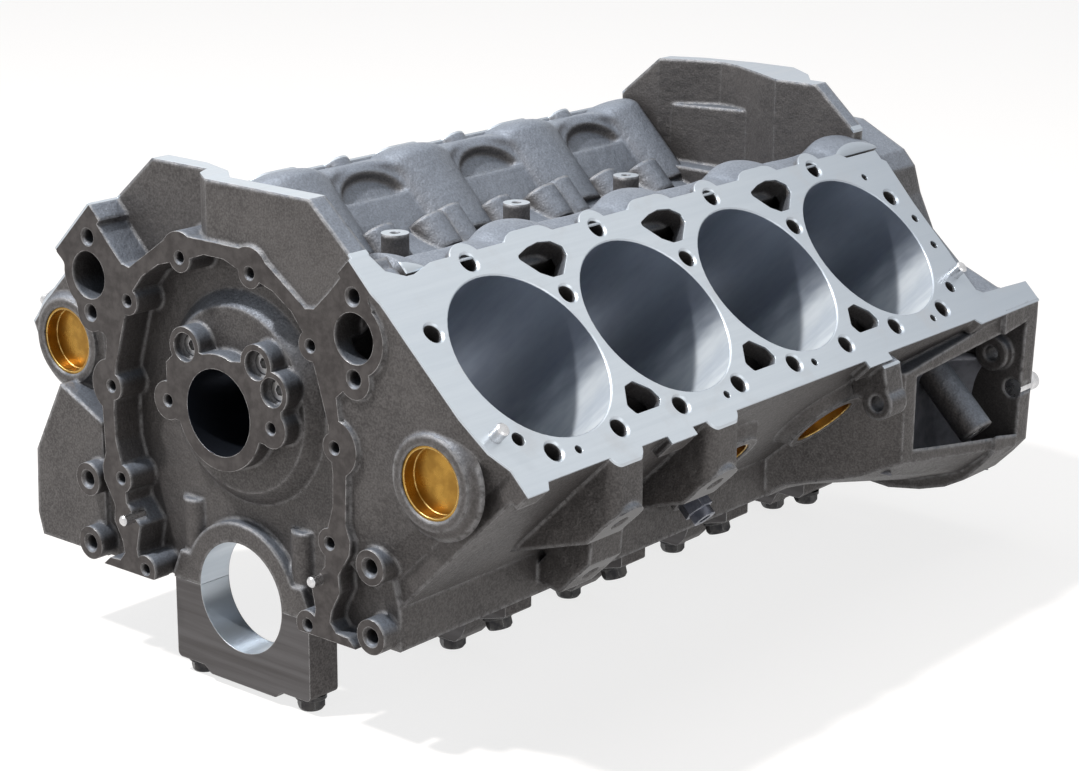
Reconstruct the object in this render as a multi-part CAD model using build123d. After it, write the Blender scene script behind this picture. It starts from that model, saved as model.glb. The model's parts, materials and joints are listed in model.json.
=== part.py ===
"""Bare V8 engine block with main caps, core plugs, gallery plugs and dowels fitted.

Millimetres. Origin on the crankshaft axis at the middle main bearing.
-Y is the timing end, +Y the flywheel end, +X the left cylinder bank, +Z up.
"""
import os
from math import cos, sin, sqrt, radians

from build123d import *

os.makedirs("parts", exist_ok=True)

# driving dimensions
BORE_PITCH = 111.76
BORE_R = 52.39
DECK_H = 229.24
CAM_H = 114.83
MAIN_R = 33.54
CAM_R = 25.4
Y_FRONT = -258.3
Y_REAR = 288.3
RAIL_X = 125.5
DECK_IN = -68.5
DECK_OUT = 70.5

# castings and walls
DECK_T = 12.0
JACKET_FLOOR = 132.0
CYL_WALL = 6.6
SIDE_WALL = 7.0
BULK_T = 24.0
BANK_FLOOR = 100.0
RIDGE_N = 181.0
LIFTER_TOP = 165.0
BAY_X = 106.0
VALLEY_Z = 158.0

# fits and holes
HEAD_BOLT_R = 5.55
HEAD_BOLT_DEEP = 38.0
HOLE_LEAD = 1.3
CORE_R = 20.65
CORE_CUP_DEEP = 10.0
CORE_WALL = 1.6
DOWEL_R = 3.97
DOWEL_GAP = 0.02
PLUG_GAP = 0.05
FLANGE_BOLT_R = 3.2
LIFTER_R = 10.7

# main caps
FRONT_CAP_T = 22.6
CAP_T = 24.0
REAR_CAP_T = 40.0
CAP_BOLT_X = 44.5
CAP_BOLT_R = 5.55
BOLT_CLEAR = 0.45
SPLAY_R = 4.75

S2 = sqrt(0.5)
DECK_SUM = DECK_H / S2
FIRST_MAIN = -2 * BORE_PITCH
MAINS = [FIRST_MAIN + k * BORE_PITCH for k in range(5)]
LEFT_CYL = [-1.6 * BORE_PITCH + k * BORE_PITCH for k in range(4)]
BULK_1 = (-245.5, -245.5 + FRONT_CAP_T)
BULK_5 = (210.0, 210.0 + REAR_CAP_T)

# planes of the left bank: local x runs rearward, local y runs toward the valley
ND = Vector(S2, 0, S2)
DECK = Plane(origin=ND * DECK_H, x_dir=(0, 1, 0), z_dir=ND)


def bank_plane(n):
    """Plane square to the left bores at distance n from the crank axis."""
    return Plane(origin=ND * n, x_dir=(0, 1, 0), z_dir=ND)


def side_plane(v):
    """Plane parallel to the left bores facing outward, local x rearward, local y toward the deck."""
    out = Vector(S2, 0, -S2)
    return Plane(origin=out * v, x_dir=(0, 1, 0), z_dir=out)


def poly(points, plane, amount, radius=0.0):
    """Closed outline drawn on a plane and extruded along its normal."""
    face = make_face(plane * Polyline(*[(a, b) for a, b in points], close=True))
    if radius > 0:
        face = fillet(face.vertices(), radius)
    return extrude(face, amount=amount, dir=plane.z_dir)


def vpoly(points, plane, amount, radius=0.0):
    """As poly, but the second value is given outward from the valley."""
    return poly([(a, -b) for a, b in points], plane, amount, radius)


def rod(plane, a, b, radius, length, start=0.0):
    """Cylinder standing on a plane at local a, b."""
    base = plane.offset(start)
    return extrude(base * Pos(a, b) * Circle(radius), amount=length, dir=plane.z_dir)


def lead_in(plane, a, b, radius, lead):
    """Conical lead-in cutter at the mouth of a hole."""
    cone = Cone(radius, radius + lead + 0.2, lead + 0.2, align=(Align.CENTER,) * 2 + (Align.MIN,))
    return plane.offset(-lead) * Pos(a, b, 0) * cone


def tapped(plane, a, b, radius, depth, lead=HOLE_LEAD):
    """Blind tapped hole with a drill point and a lead-in."""
    shank = rod(plane, a, b, radius, depth + 0.2, -depth)
    tip = plane.offset(-depth - radius * 0.55) * Pos(a, b, 0) * Cone(
        0.2, radius, radius * 0.55, align=(Align.CENTER,) * 2 + (Align.MIN,))
    return shank + tip + lead_in(plane, a, b, radius, lead)


def to_right(shape):
    """The right bank repeats the left one turned half a turn about the vertical."""
    return shape.rotate(Axis.Z, 180)


def both(shapes):
    """A list of left-bank shapes followed by their right-bank copies."""
    return list(shapes) + [to_right(s) for s in shapes]


def mirrored(shapes):
    """A list of shapes followed by their mirror images across the middle plane."""
    return list(shapes) + [s.mirror(Plane.YZ) for s in shapes]


XZ_FRONT = Plane(origin=(0, Y_FRONT, 0), x_dir=(1, 0, 0), z_dir=(0, -1, 0))
XZ_REAR = Plane(origin=(0, Y_REAR, 0), x_dir=(-1, 0, 0), z_dir=(0, 1, 0))


def front_poly(points, y0, y1, radius=0.0):
    """Outline in x and z extruded rearward from y0 to y1."""
    plane = Plane(origin=(0, y1, 0), x_dir=(1, 0, 0), z_dir=(0, -1, 0))
    return poly(points, plane, y1 - y0, radius)


def y_rod(x, z, radius, y0, y1):
    """Cylinder along Y."""
    plane = Plane(origin=(0, y1, 0), x_dir=(1, 0, 0), z_dir=(0, -1, 0))
    return rod(plane, x, z, radius, y1 - y0)


def plan_poly(points, z0, z1, radius=0.0):
    """Outline in x and y extruded upward."""
    return poly(points, Plane.XY.offset(z0), z1 - z0, radius)


def sym(points):
    """Complete a right-hand outline with its mirror image."""
    return points + [(-a, b) for a, b in reversed(points)]


def at(n, v):
    """Place in x and z of a point n along the left bores and v outward from them."""
    return ((n + v) * S2, (n - v) * S2)


def plate(points, circles, y0, y1):
    """Right-hand outline with its mirror image and round lobes, extruded rearward from y0 to y1."""
    plane = Plane(origin=(0, y1, 0), x_dir=(1, 0, 0), z_dir=(0, -1, 0))
    body = poly(sym(points), plane, y1 - y0)
    lobes = [y_rod(s * x, z, r, y0, y1) for x, z, r in circles for s in (-1, 1)]
    return body.fuse(*lobes)


# solid shapes of the casting
# crankcase, whose shoulders are the sloping floor of the lifter valley
crankcase_half = [
    (RAIL_X, 0.0),
    (RAIL_X, RAIL_X - DECK_OUT / S2),
    at(RIDGE_N, -62.0),
    at(RIDGE_N, -74.0),
    (50.0, VALLEY_Z + 10.0),
    (26.0, VALLEY_Z + 2.0),
    (12.0, VALLEY_Z),
]
core = front_poly(sym([(-a, b) for a, b in crankcase_half][::-1]), BULK_1[0], 248.0)

# one cylinder bank, drawn on the deck and carried down the bores
left_outline = [
    (-243.0, DECK_OUT),
    (-243.0, 58.0),
    (-250.5, 45.0),
    (-254.5, 22.0),
    (-256.0, -30.0),
    (-256.0, -64.0),
    (230.5, -64.0),
    (230.5, DECK_OUT),
]
right_outline = [
    (-212.0, DECK_OUT),
    (-228.0, 48.0),
    (-232.0, 20.0),
    (-232.0, -64.0),
    (256.0, -64.0),
    (256.0, DECK_OUT),
]
left_deck = [
    (-243.0, 75.0),
    (-243.0, 58.0),
    (-250.5, 45.0),
    (-254.5, 22.0),
    (-256.0, -30.0),
    (-256.5, -52.0),
    (Y_FRONT, -60.0),
    (Y_FRONT, -82.0),
    (-244.0, -82.0),
    (-240.0, -70.0),
    (-226.0, -63.0),
    (-206.0, DECK_IN),
    (190.0, DECK_IN),
    (203.0, -59.5),
    (226.0, -60.0),
    (234.0, -54.0),
    (231.0, -20.0),
    (231.0, 20.0),
    (228.0, 50.0),
    (236.0, 55.5),
    (Y_REAR, 58.0),
    (Y_REAR, 74.0),
    (213.0, 75.0),
    (209.0, DECK_OUT),
    (-224.0, DECK_OUT),
    (-227.0, 75.0),
]
right_deck = [
    (-206.0, 75.0),
    (-224.0, 51.0),
    (-230.0, 36.0),
    (-232.0, 0.0),
    (-232.0, -38.0),
    (Y_FRONT, -38.0),
    (Y_FRONT, -82.0),
    (-226.0, -82.0),
    (-212.0, DECK_IN),
    (232.0, DECK_IN),
    (252.0, -62.0),
    (257.0, -30.0),
    (256.0, 50.0),
    (260.0, 56.0),
    (Y_REAR, 58.0),
    (Y_REAR, 74.0),
    (213.0, 75.0),
    (209.0, DECK_OUT),
    (-196.0, DECK_OUT),
    (-199.0, 75.0),
]
SLAB_T = 13.0
banks = [
    vpoly(left_outline, bank_plane(BANK_FLOOR), DECK_H - BANK_FLOOR),
    vpoly(left_deck, bank_plane(DECK_H - SLAB_T), SLAB_T),
    vpoly(right_outline, bank_plane(BANK_FLOOR), DECK_H - BANK_FLOOR).mirror(Plane.YZ),
    vpoly(right_deck, bank_plane(DECK_H - SLAB_T), SLAB_T).mirror(Plane.YZ),
]

# bosses that swell the valley edge: round ones at the top bolts, long ones at the passages
edge_lobes = []
for y in LEFT_CYL:
    edge_lobes.append(rod(bank_plane(RIDGE_N), y, 62.5, 12.6, DECK_H - RIDGE_N))
RIB_FOOT = 130.0
rib_section = SlotCenterToCenter(18.0, 30.0)
for y in [c + BORE_PITCH / 2 for c in LEFT_CYL[:3]]:
    edge_lobes.append(extrude(bank_plane(RIB_FOOT) * Pos(y - 1.0, 59.0) * rib_section, amount=DECK_H - RIB_FOOT, dir=ND))

# short shelves on the outer deck edge
shelves = []
for a, b in ((-121.0, -98.0), (79.0, 104.0)):
    shelves.append(vpoly([(a, 60.0), (b, 60.0), (b, 75.6), (a, 75.6)], bank_plane(DECK_H - 15.0), 15.0))

# pillars under the outer deck edge that carry the engine mount pads
PAD_V = 97.2
PAD_R = 15.5
PILLAR_X = 215.8
PILLAR_W = 29.0
pads = [(-158.0, 197.0), (-70.0, 197.0), (-114.0, 119.0)]
pillars = []
for y, n in pads:
    foot_x, foot_z = at(n, PAD_V)
    pillars.append(rod(side_plane(60.0), y, n, PAD_R, PAD_V - 60.0))
    plan = [(110.0, y - PILLAR_W / 2), (PILLAR_X, y - PILLAR_W / 2), (PILLAR_X, y + PILLAR_W / 2), (110.0, y + PILLAR_W / 2)]
    if n > 150:
        section = [
            (135.0, 40.0), (foot_x - 11.0, foot_z - 11.0), (PILLAR_X, PILLAR_X - PAD_V / S2),
            (PILLAR_X, DECK_SUM - PILLAR_X), (150.0, DECK_SUM - 150.0),
        ]
    else:
        section = [(118.0, 10.0), (foot_x - 11.0, foot_z - 11.0), (foot_x + 11.0, foot_z + 11.0), (168.0, 66.0)]
    pillars.append(plan_poly(plan, 5.0, 176.0, 7.0) & front_poly(section, y - PILLAR_W, y + PILLAR_W))

# engine mount wing at the right front, level with the pan rail
wing_face = [(-112.0, 0.0), (-172.0, 0.0), (-176.0, 14.0), (-174.0, 55.0), (-149.0, 101.0), (-112.0, 84.0)]
front_wing = front_poly(wing_face, -248.0, -176.0)

# front timing plate and its raised flange
TIMING_BOLTS = [(28.0, 200.0), (73.6, 167.3), (90.4, 113.2), (85.4, 57.5), (67.1, 4.9)]
PORT = (106.2, 177.2, 14.2)
PORT_BOLTS = [(105.8, 199.9), (105.8, 154.8)]
EAR_SUM = DECK_SUM - 3.2
timing_outline = [
    (104.0, 0.0), (98.0, 5.2), (89.0, 5.8), (84.7, 11.0), (86.0, 18.0), (92.6, 30.0), (91.6, 40.0), (100.3, 54.0),
    (101.2, 62.0), (97.8, 71.0), (99.0, 100.0), (94.0, 131.5), (92.6, 142.0), (104.0, 152.0), (120.0, EAR_SUM - 126.0),
    (104.5, EAR_SUM - 104.5), (88.0, 199.0), (77.0, 188.5), (70.5, 187.5), (40.0, 208.5), (19.5, 213.0),
]
timing_lobes = [(28.0, 200.0, 15.0), (90.4, 113.2, 16.4), (PORT[0], PORT[1], 21.3)]
timing_lobes += [(x, z, 11.5) for x, z in PORT_BOLTS]
timing_plate = plate(timing_outline, timing_lobes, Y_FRONT, -230.0)
recess_outline = [
    (70.0, -2.0), (73.8, 16.0), (70.5, 31.0), (81.5, 43.0), (82.5, 60.0), (88.5, 80.0), (89.0, 98.0), (86.0, 126.0),
    (77.0, 155.0), (70.0, 172.0), (60.0, 184.0), (46.0, 193.0), (17.0, 201.5), (8.0, 204.8),
]
BOLT_LAND = 8.6
RECESS_Y = -238.0
timing_recess = plate(recess_outline, [], Y_FRONT - 1.0, RECESS_Y)
timing_lands = [y_rod(s * x, z, BOLT_LAND, Y_FRONT - 2.0, RECESS_Y) for x, z in TIMING_BOLTS for s in (-1, 1)]
timing_recess = timing_recess.cut(*timing_lands)

# corner and accessory bosses standing at the front plane
BRACKET_BOLTS = [(115.4, 10.2), (115.4, 50.5)]
front_bosses = []
for x, z in BRACKET_BOLTS:
    front_bosses += [y_rod(x, z, 10.2, Y_FRONT, -236.0), y_rod(-x, z, 10.2, Y_FRONT, -215.0)]

right_ear = front_poly(
    [(-104.5, EAR_SUM - 104.5), (-134.0, EAR_SUM - 134.0), (-128.0, EAR_SUM - 139.0), (-125.0, EAR_SUM - 149.0),
     (-112.0, 146.0), (-92.0, 144.0), (-88.0, 199.0)], Y_FRONT, -226.0)
valley_end = front_poly([(-104.0, 150.0), (104.0, 150.0), (104.0, 210.0), (-104.0, 210.0)], -236.0, -224.0)

# ends of the lifter valley
CHINA_X = 72.5
CHINA_Z = DECK_SUM - 76.9
CHINA_FOOT = at(DECK_H, -82.0)
wall_face = [(-CHINA_FOOT[0], CHINA_FOOT[1]), (-CHINA_X, CHINA_Z), (CHINA_X, CHINA_Z), CHINA_FOOT, (100.0, 150.0), (-100.0, 150.0)]
front_wall_plan = [
    (-112.0, -236.0), (-27.0, -236.0), (-22.0, -246.0), (-8.0, -255.5), (112.0, -256.5), (112.0, -243.0),
    (0.0, -244.0), (-14.0, -232.0), (-40.0, -224.0), (-112.0, -223.0),
]
rear_wall_plan = [
    (112.0, 223.5), (40.0, 223.5), (12.0, 240.0), (-14.0, 254.0), (-30.0, 258.0), (-50.0, 252.5),
    (-73.0, 242.0), (-112.0, 240.0), (-112.0, 254.0), (-74.0, 254.0), (-50.0, 265.0), (-10.0, 272.0),
    (22.0, 272.0), (46.0, 254.0), (60.0, 236.0), (112.0, 234.0),
]
wall_front = front_poly(wall_face, -262.0, -215.0) & plan_poly(front_wall_plan, 140.0, 260.0)
wall_rear = front_poly(wall_face, 215.0, 276.0) & plan_poly(rear_wall_plan, 140.0, 260.0)

# rear wall, flywheel housing flange and the skirt that ties it to the crankcase
FLANGE_T = 14.0
REAR_FACE = 258.0
WEB_Y = 246.0
housing_half = [
    (0.0, -8.0), (62.0, -8.0), (80.0, -26.0), (130.0, -30.0), (154.5, -26.0), (174.0, -20.0),
    (188.6, -12.0), (201.2, 1.0), (210.6, 12.0), (213.6, 99.0), (213.6, 111.2), (182.0, 113.5), (152.0, 126.0),
    (130.0, 146.0), (118.5, 170.0), (113.0, 188.0), (104.0, 198.0), (70.0, 215.0), (0.0, 218.0),
]
housing_full = housing_half + [(-a, b) for a, b in reversed(housing_half[1:-1])]
housing_web = front_poly(housing_full, WEB_Y, Y_REAR)
housing_void_half = [
    (0.0, -12.0), (48.0, -12.0), (66.0, 12.0), (100.0, -12.0), (122.0, -14.0), (122.0, 90.0),
    (116.0, 120.0), (104.0, 148.0), (98.0, 178.0), (50.0, 193.0), (0.0, 198.0),
]
housing_void = front_poly(
    housing_void_half + [(-a, b) for a, b in reversed(housing_void_half[1:-1])], REAR_FACE, Y_REAR + 1.0)
rear_centre = front_poly(
    [(-118.0, 0.0), (118.0, 0.0), (118.0, 110.0), (70.0, 175.0), (-70.0, 175.0), (-118.0, 110.0)], 230.0, REAR_FACE)


def tapered(front, rear, y0, y1):
    """Straight-sided body between an outline at y0 and one at y1."""
    ends = [make_face(Polyline(*[(x, y, z) for x, z in outline], close=True)) for outline, y in ((front, y0), (rear, y1))]
    return loft(ends, ruled=True)


# side skirts run out to the housing flange behind the banks, each hollowed by a pocket open to the side
SKIRT_Y = (140.0, Y_REAR - FLANGE_T)
skirt_front = [(110.0, 88.0), (110.0, 0.0), (127.0, 0.0), (130.0, -1.0), (140.0, 2.0), (175.0, 14.0), (200.0, 28.0), (200.0, 86.0)]
skirt_rear = [
    (110.0, 112.0), (110.0, 0.0), (127.0, 0.0), (130.0, -20.0), (150.0, -26.0), (188.0, -12.0), (211.0, 10.0), (213.6, 112.0),
]
SKIRT_RUN = SKIRT_Y[1] - SKIRT_Y[0]
skirt_nose = [(a - (c - a) * 0.4, b - (d - b) * 0.4) for (a, b), (c, d) in zip(skirt_front, skirt_rear)]
skirt_plan = [(110.0, 92.0), (200.0, 146.0), (216.0, 200.0), (216.0, Y_REAR), (110.0, Y_REAR)]
skirt = tapered(skirt_nose, skirt_rear, SKIRT_Y[0] - 0.4 * SKIRT_RUN, SKIRT_Y[1]) & plan_poly(skirt_plan, -30.0, 120.0)
POCKET_IN = 134.0
BANK_SUM = DECK_OUT / S2
pocket_front = [
    (POCKET_IN, 8.0), (150.0, 11.0), (172.0, 20.0), (200.0, 35.0), (232.0, 52.0), (232.0, 82.0),
    (82.0 + BANK_SUM, 82.0), (POCKET_IN, POCKET_IN - BANK_SUM),
]
pocket_rear = [
    (POCKET_IN, -15.0), (150.0, -18.0), (184.0, -5.0), (203.0, 12.0), (232.0, 36.0), (232.0, 98.0),
    (98.0 + BANK_SUM, 98.0), (POCKET_IN, POCKET_IN - BANK_SUM),
]
pocket_plan = [(POCKET_IN, 150.0), (192.0, 158.0), (236.0, 152.0), (236.0, SKIRT_Y[1]), (POCKET_IN, SKIRT_Y[1])]
pocket = tapered(pocket_front, pocket_rear, 150.0, SKIRT_Y[1]) & plan_poly(pocket_plan, -30.0, 110.0, 4.0)

solids = [core] + banks + both(edge_lobes) + mirrored(pillars + shelves)
solids += [timing_plate, right_ear, valley_end, wall_front, wall_rear, rear_centre, housing_web]
solids += front_bosses + mirrored([skirt]) + [front_wing]
casting = solids[0].fuse(*solids[1:])

# first cuts: rough openings
BORE_BOTTOM = 84.0
cuts = []
cuts.append(timing_recess)
cuts.append(housing_void)
cuts += mirrored([pocket])
cuts.append(front_poly([(-108.0, -40.0), (108.0, -40.0), (108.0, 0.0), (-108.0, 0.0)], 150.0, REAR_FACE + 6.0))

# clearance round the rear core plugs, which sit in the end walls of the banks
REAR_CORE = at(DECK_H - 73.7, -25.5)
REAR_CORE_Y = {1: 234.0, -1: REAR_FACE + 0.5}
CORE_BOSS_R = 26.5
cuts.append(y_rod(REAR_CORE[0], REAR_CORE[1], CORE_BOSS_R + 1.5, REAR_CORE_Y[1] - 3.5, REAR_FACE + 1.0))

# shallow D-shaped hollows in the valley walls beside the cylinders
HOLLOW_V = -64.0
HOLLOW_DEEP = 4.0
hollow_outline = [(-27.0, 0.0), (27.0, 0.0), (23.0, 13.0), (9.0, 22.0), (-9.0, 22.0), (-23.0, 13.0)]
for y in LEFT_CYL:
    moved = [(y + a, RIDGE_N + b) for a, b in hollow_outline]
    cuts += both([poly(moved, side_plane(HOLLOW_V - 6.0), 6.0 + HOLLOW_DEEP, 2.5)])

# crankcase bays between the main bulkheads
bay_half = [(BAY_X, -1.0), (BAY_X, 24.0), (94.0, 38.0), (56.0, 76.0), (34.0, 84.0)]
bay_walls = [BULK_1] + [(m - BULK_T / 2, m + BULK_T / 2) for m in MAINS[1:4]] + [BULK_5]
for ahead, behind in zip(bay_walls, bay_walls[1:]):
    bay = front_poly(sym(bay_half), ahead[1], behind[0])
    cuts.append(bay)
    cuts.append(front_poly([(-15.0, 80.0), (15.0, 80.0), (15.0, CAM_H), (-15.0, CAM_H)], ahead[1] + 12.0, behind[0] - 12.0))

# water jacket round the siamesed cylinders of one bank
jacket_outline = [
    (-246.0, -57.0), (-246.0, 0.0), (-240.0, 14.0), (-240.0, 50.0), (-235.0, 56.0), (-235.0, DECK_OUT - SIDE_WALL),
    (222.0, DECK_OUT - SIDE_WALL), (222.0, -57.0),
]
HEAD_BOLTS = [(y, -62.5) for y in LEFT_CYL]
HEAD_BOLTS += [(LEFT_CYL[0] + (k - 0.5) * BORE_PITCH, -28.3) for k in range(5)]
HEAD_BOLTS += [(y + d * BORE_PITCH / 4, 55.9) for y in LEFT_CYL for d in (-1, 1)]
jacket = vpoly(jacket_outline, bank_plane(JACKET_FLOOR), DECK_H - DECK_T - JACKET_FLOOR)
kept = [rod(bank_plane(JACKET_FLOOR - 1), y, 0, BORE_R + CYL_WALL, 120.0) for y in LEFT_CYL]
kept += [rod(bank_plane(JACKET_FLOOR - 1), y, -v, HEAD_BOLT_R + 4.6, 120.0) for y, v in HEAD_BOLTS]
jacket = jacket.cut(*kept)
cuts += both([jacket])
casting = casting.cut(*cuts)

# bosses added after the rough cuts
CAM_BOSS_R = 34.0
GALLERY = [(-26.4, 148.3), (31.1, 148.3), (43.0, 135.0)]
RETAINER_X = 41.7
RETAINER_Z = 114.1
cam_web = [
    (-46.0, 104.0), (46.0, 104.0), (50.0, 120.0), (50.0, 140.0), (30.0, 150.0), (8.0, 146.3), (-9.0, 146.3),
    (-28.0, 150.0), (-42.0, 137.0), (-42.0, 122.0),
]
cam_lobes = [(0.0, CAM_H, CAM_BOSS_R), (RETAINER_X, RETAINER_Z, 11.5), (-RETAINER_X, RETAINER_Z, 11.5)]
cam_lobes += [(x, z, 12.0) for x, z in GALLERY]
cam_boss = front_poly(cam_web, Y_FRONT, RECESS_Y + 1.0).fuse(
    *[y_rod(x, z, r, Y_FRONT, RECESS_Y + 1.0) for x, z, r in cam_lobes])
hump_plane = Plane(origin=(2.0, RECESS_Y + 1.0, CAM_H + 5.0), x_dir=(1, 0, 0), z_dir=(0, -1, 0))
cam_hump = hump_plane * Cone(64.0, 54.0, 9.0, align=(Align.CENTER,) * 2 + (Align.MIN,))
crank_boss = y_rod(0, 0, 45.5, BULK_1[0], RECESS_Y + 1.0) & front_poly(
    [(-60.0, 0.0), (60.0, 0.0), (60.0, 60.0), (-60.0, 60.0)], -250.0, -230.0)
saddle_pad = front_poly([(-58.0, 0.0), (58.0, 0.0), (50.0, 18.0), (-50.0, 18.0)], BULK_1[0], RECESS_Y + 1.0)
adds = [cam_boss, cam_hump, crank_boss, saddle_pad]
BOLT_COLUMN = 50.0
adds += [rod(Plane.XY, s * CAP_BOLT_X, sum(BULK_1) / 2, 9.4, BOLT_COLUMN) for s in (-1, 1)]

# retainer bosses along the valley
SPIDER_R = 8.5
SPIDER_TOP = 193.1
for y in MAINS[1:4]:
    adds.append(rod(Plane.XY.offset(VALLEY_Z - 4.0), 0, y, SPIDER_R, SPIDER_TOP - VALLEY_Z + 4.0))
    flare = Cone(SPIDER_R + 9.0, SPIDER_R, 14.0, align=(Align.CENTER,) * 2 + (Align.MIN,))
    adds.append(Pos(0, y, VALLEY_Z - 1.0) * flare)

# lifter bosses
LIFTER_V = -CAM_H * S2
LIFTER_N = CAM_H * S2
LIFTER_STEP = 23.5
lifters = [(y + d * LIFTER_STEP, LIFTER_V) for y in LEFT_CYL for d in (-1, 1)]
lifter_bosses = []
for y, v in lifters:
    lifter_bosses.append(rod(bank_plane(140.0), y, -v, LIFTER_R + 3.6, LIFTER_TOP - 140.0))
adds += both(lifter_bosses)

# round bosses with a drain hole beside the inner bulkheads
RIB_DRAIN = (169.0, -80.0)
rib_feet = [(y, RIB_DRAIN[1]) for y in MAINS[1:4]]
adds += both([rod(bank_plane(140.0), y, -v, 13.0, RIB_DRAIN[0] - 140.0) for y, v in rib_feet])

# core plug bosses: two at the front, three along each side, two at the rear
left_core = at(DECK_H - 41.15, 36.06)
right_core = at(DECK_H - 31.25, 22.6)
FRONT_CORES = [(left_core[0], left_core[1], -257.0), (-right_core[0], right_core[1], -236.0)]
SIDE_CORES = [(y + 0.5 * BORE_PITCH - 4.0, DECK_H - 64.24) for y in LEFT_CYL[:3]]
SIDE_CORE_V = 79.0


def core_boss(plane, a, b, height):
    """Raised ring with a flared foot that holds a core plug."""
    ring = rod(plane, a, b, CORE_BOSS_R, height + 4.0, -height - 4.0)
    foot = plane.offset(-height - 1.0) * Pos(a, b, 0) * Cone(
        CORE_BOSS_R + 7.0, CORE_BOSS_R, height - 0.5, align=(Align.CENTER,) * 2 + (Align.MIN,))
    return ring + foot


for x, z, y0 in FRONT_CORES:
    face = Plane(origin=(0, y0, 0), x_dir=(1, 0, 0), z_dir=(0, -1, 0))
    adds.append(core_boss(face, x, z, 5.0))
adds += both([core_boss(side_plane(SIDE_CORE_V), y, n, SIDE_CORE_V - DECK_OUT) for y, n in SIDE_CORES])
for s, y0 in REAR_CORE_Y.items():
    face = Plane(origin=(0, y0, 0), x_dir=(-1, 0, 0), z_dir=(0, 1, 0))
    adds.append(core_boss(face, -s * REAR_CORE[0], REAR_CORE[1], 4.0))

# drain plug bosses low on each side
DRAIN_N = 121.0
DRAIN_Y = -2.0
DRAIN_V = 80.0
adds += mirrored([rod(side_plane(60.0), DRAIN_Y, DRAIN_N, 13.0, DRAIN_V - 60.0)])

# slanted oil boss inside the left rear pocket and the flange lug beside it
OIL_N = 162.0
OIL_Y = 236.0
OIL_V = 124.0
adds.append(rod(side_plane(60.0), OIL_Y, OIL_N, 12.0, OIL_V - 60.0))
adds.append(y_rod(192.6, 73.4, 12.0, Y_REAR - FLANGE_T - 8.0, Y_REAR - FLANGE_T + 2.0))

# bracket ear under the left deck edge
EAR = (213.0, 82.0)
adds.append(y_rod(EAR[0], EAR[1], 10.5, 92.0, 110.0))
adds.append(front_poly([(196.0, 84.0), (222.0, 82.0), (217.0, 106.0), (205.0, 112.0), (190.0, 100.0)], 92.0, 110.0))
casting = casting.fuse(*adds)

# machined bores and holes
fine = []
fine += both([rod(bank_plane(BORE_BOTTOM), y, 0, BORE_R, DECK_H - BORE_BOTTOM + 1.0) for y in LEFT_CYL])
fine += both([lead_in(DECK, y, 0, BORE_R, 0.8) for y in LEFT_CYL])
fine.append(y_rod(0, 0, MAIN_R, -270.0, 270.0))
fine.append(y_rod(0, CAM_H, CAM_R, Y_FRONT - 1.0, REAR_FACE + 1.0))
fine += both([rod(bank_plane(LIFTER_N + 5.0), y, -v, LIFTER_R, LIFTER_TOP - LIFTER_N) for y, v in lifters])
fine += both([rod(bank_plane(RIB_DRAIN[0]), y, -v, 8.0, 13.0, -12.0) for y, v in rib_feet])
fine += both([tapped(DECK, y, -v, HEAD_BOLT_R, HEAD_BOLT_DEEP) for y, v in HEAD_BOLTS])

# water and oil openings of the deck
upper_passage = [(-20.5, -57.7), (-7.5, -62.0), (2.5, -63.5), (13.0, -62.0), (19.5, -57.0), (18.5, -51.0), (6.0, -40.0), (-3.0, -40.0), (-10.5, -44.6)]
lower_passage = [(-5.0, 34.7), (3.5, 33.3), (13.0, 41.0), (15.5, 48.5), (11.0, 52.4), (-9.5, 52.4), (-12.5, 46.0)]
for k in range(3):
    mid = LEFT_CYL[k] + BORE_PITCH / 2
    fine += both([vpoly([(mid + a, v) for a, v in upper_passage], bank_plane(DECK_H - DECK_T - 2.0), DECK_T + 3.0, 2.5)])
    fine += both([vpoly([(mid + a, v) for a, v in lower_passage], bank_plane(DECK_H - DECK_T - 2.0), DECK_T + 3.0, 2.5)])
steam_holes = [(y + d, 59.8, 2.6) for y, d in zip(LEFT_CYL, (-10.8, 11.8, -10.8, 12.0))]
steam_holes += [(-225.4, 43.1, 4.2), (200.2, -47.2, 2.6), (221.1, -8.9, 3.0), (221.0, 12.7, 3.0), (206.8, 44.0, 4.2)]
for y, v, r in steam_holes:
    fine += both([rod(DECK, y, -v, r, DECK_T + 5.0, -DECK_T - 4.0)])
HEAD_DOWELS = [(-239.4, 37.8), (220.4, 36.3)]
DOWEL_DEEP = 9.0
fine += both([rod(DECK, y, -v, DOWEL_R + DOWEL_GAP, DOWEL_DEEP + 1.0, -DOWEL_DEEP) for y, v in HEAD_DOWELS])

# timing face
for x, z in TIMING_BOLTS:
    fine += [tapped(XZ_FRONT, s * x, z, FLANGE_BOLT_R, 15.0, 0.9) for s in (-1, 1)]
for x, z in PORT_BOLTS:
    fine += [tapped(XZ_FRONT, s * x, z, 4.2, 20.0) for s in (-1, 1)]
for x, z in BRACKET_BOLTS:
    fine += [tapped(XZ_FRONT, s * x, z, 4.4, 20.0, 1.6) for s in (-1, 1)]
fine += [tapped(XZ_FRONT, s * RETAINER_X, RETAINER_Z, 3.2, 16.0, 0.8) for s in (-1, 1)]
fine += [y_rod(PORT[0], PORT[1], PORT[2], Y_FRONT - 1.0, -238.0), y_rod(-PORT[0], PORT[1], PORT[2], Y_FRONT - 1.0, -216.0)]
TIMING_DOWELS = [(77.3, 34.7), (-77.3, 34.7)]
TIMING_DOWEL_R = 3.2
fine += [y_rod(x, z, TIMING_DOWEL_R + DOWEL_GAP, Y_FRONT - 1.0, Y_FRONT + DOWEL_DEEP) for x, z in TIMING_DOWELS]

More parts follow.
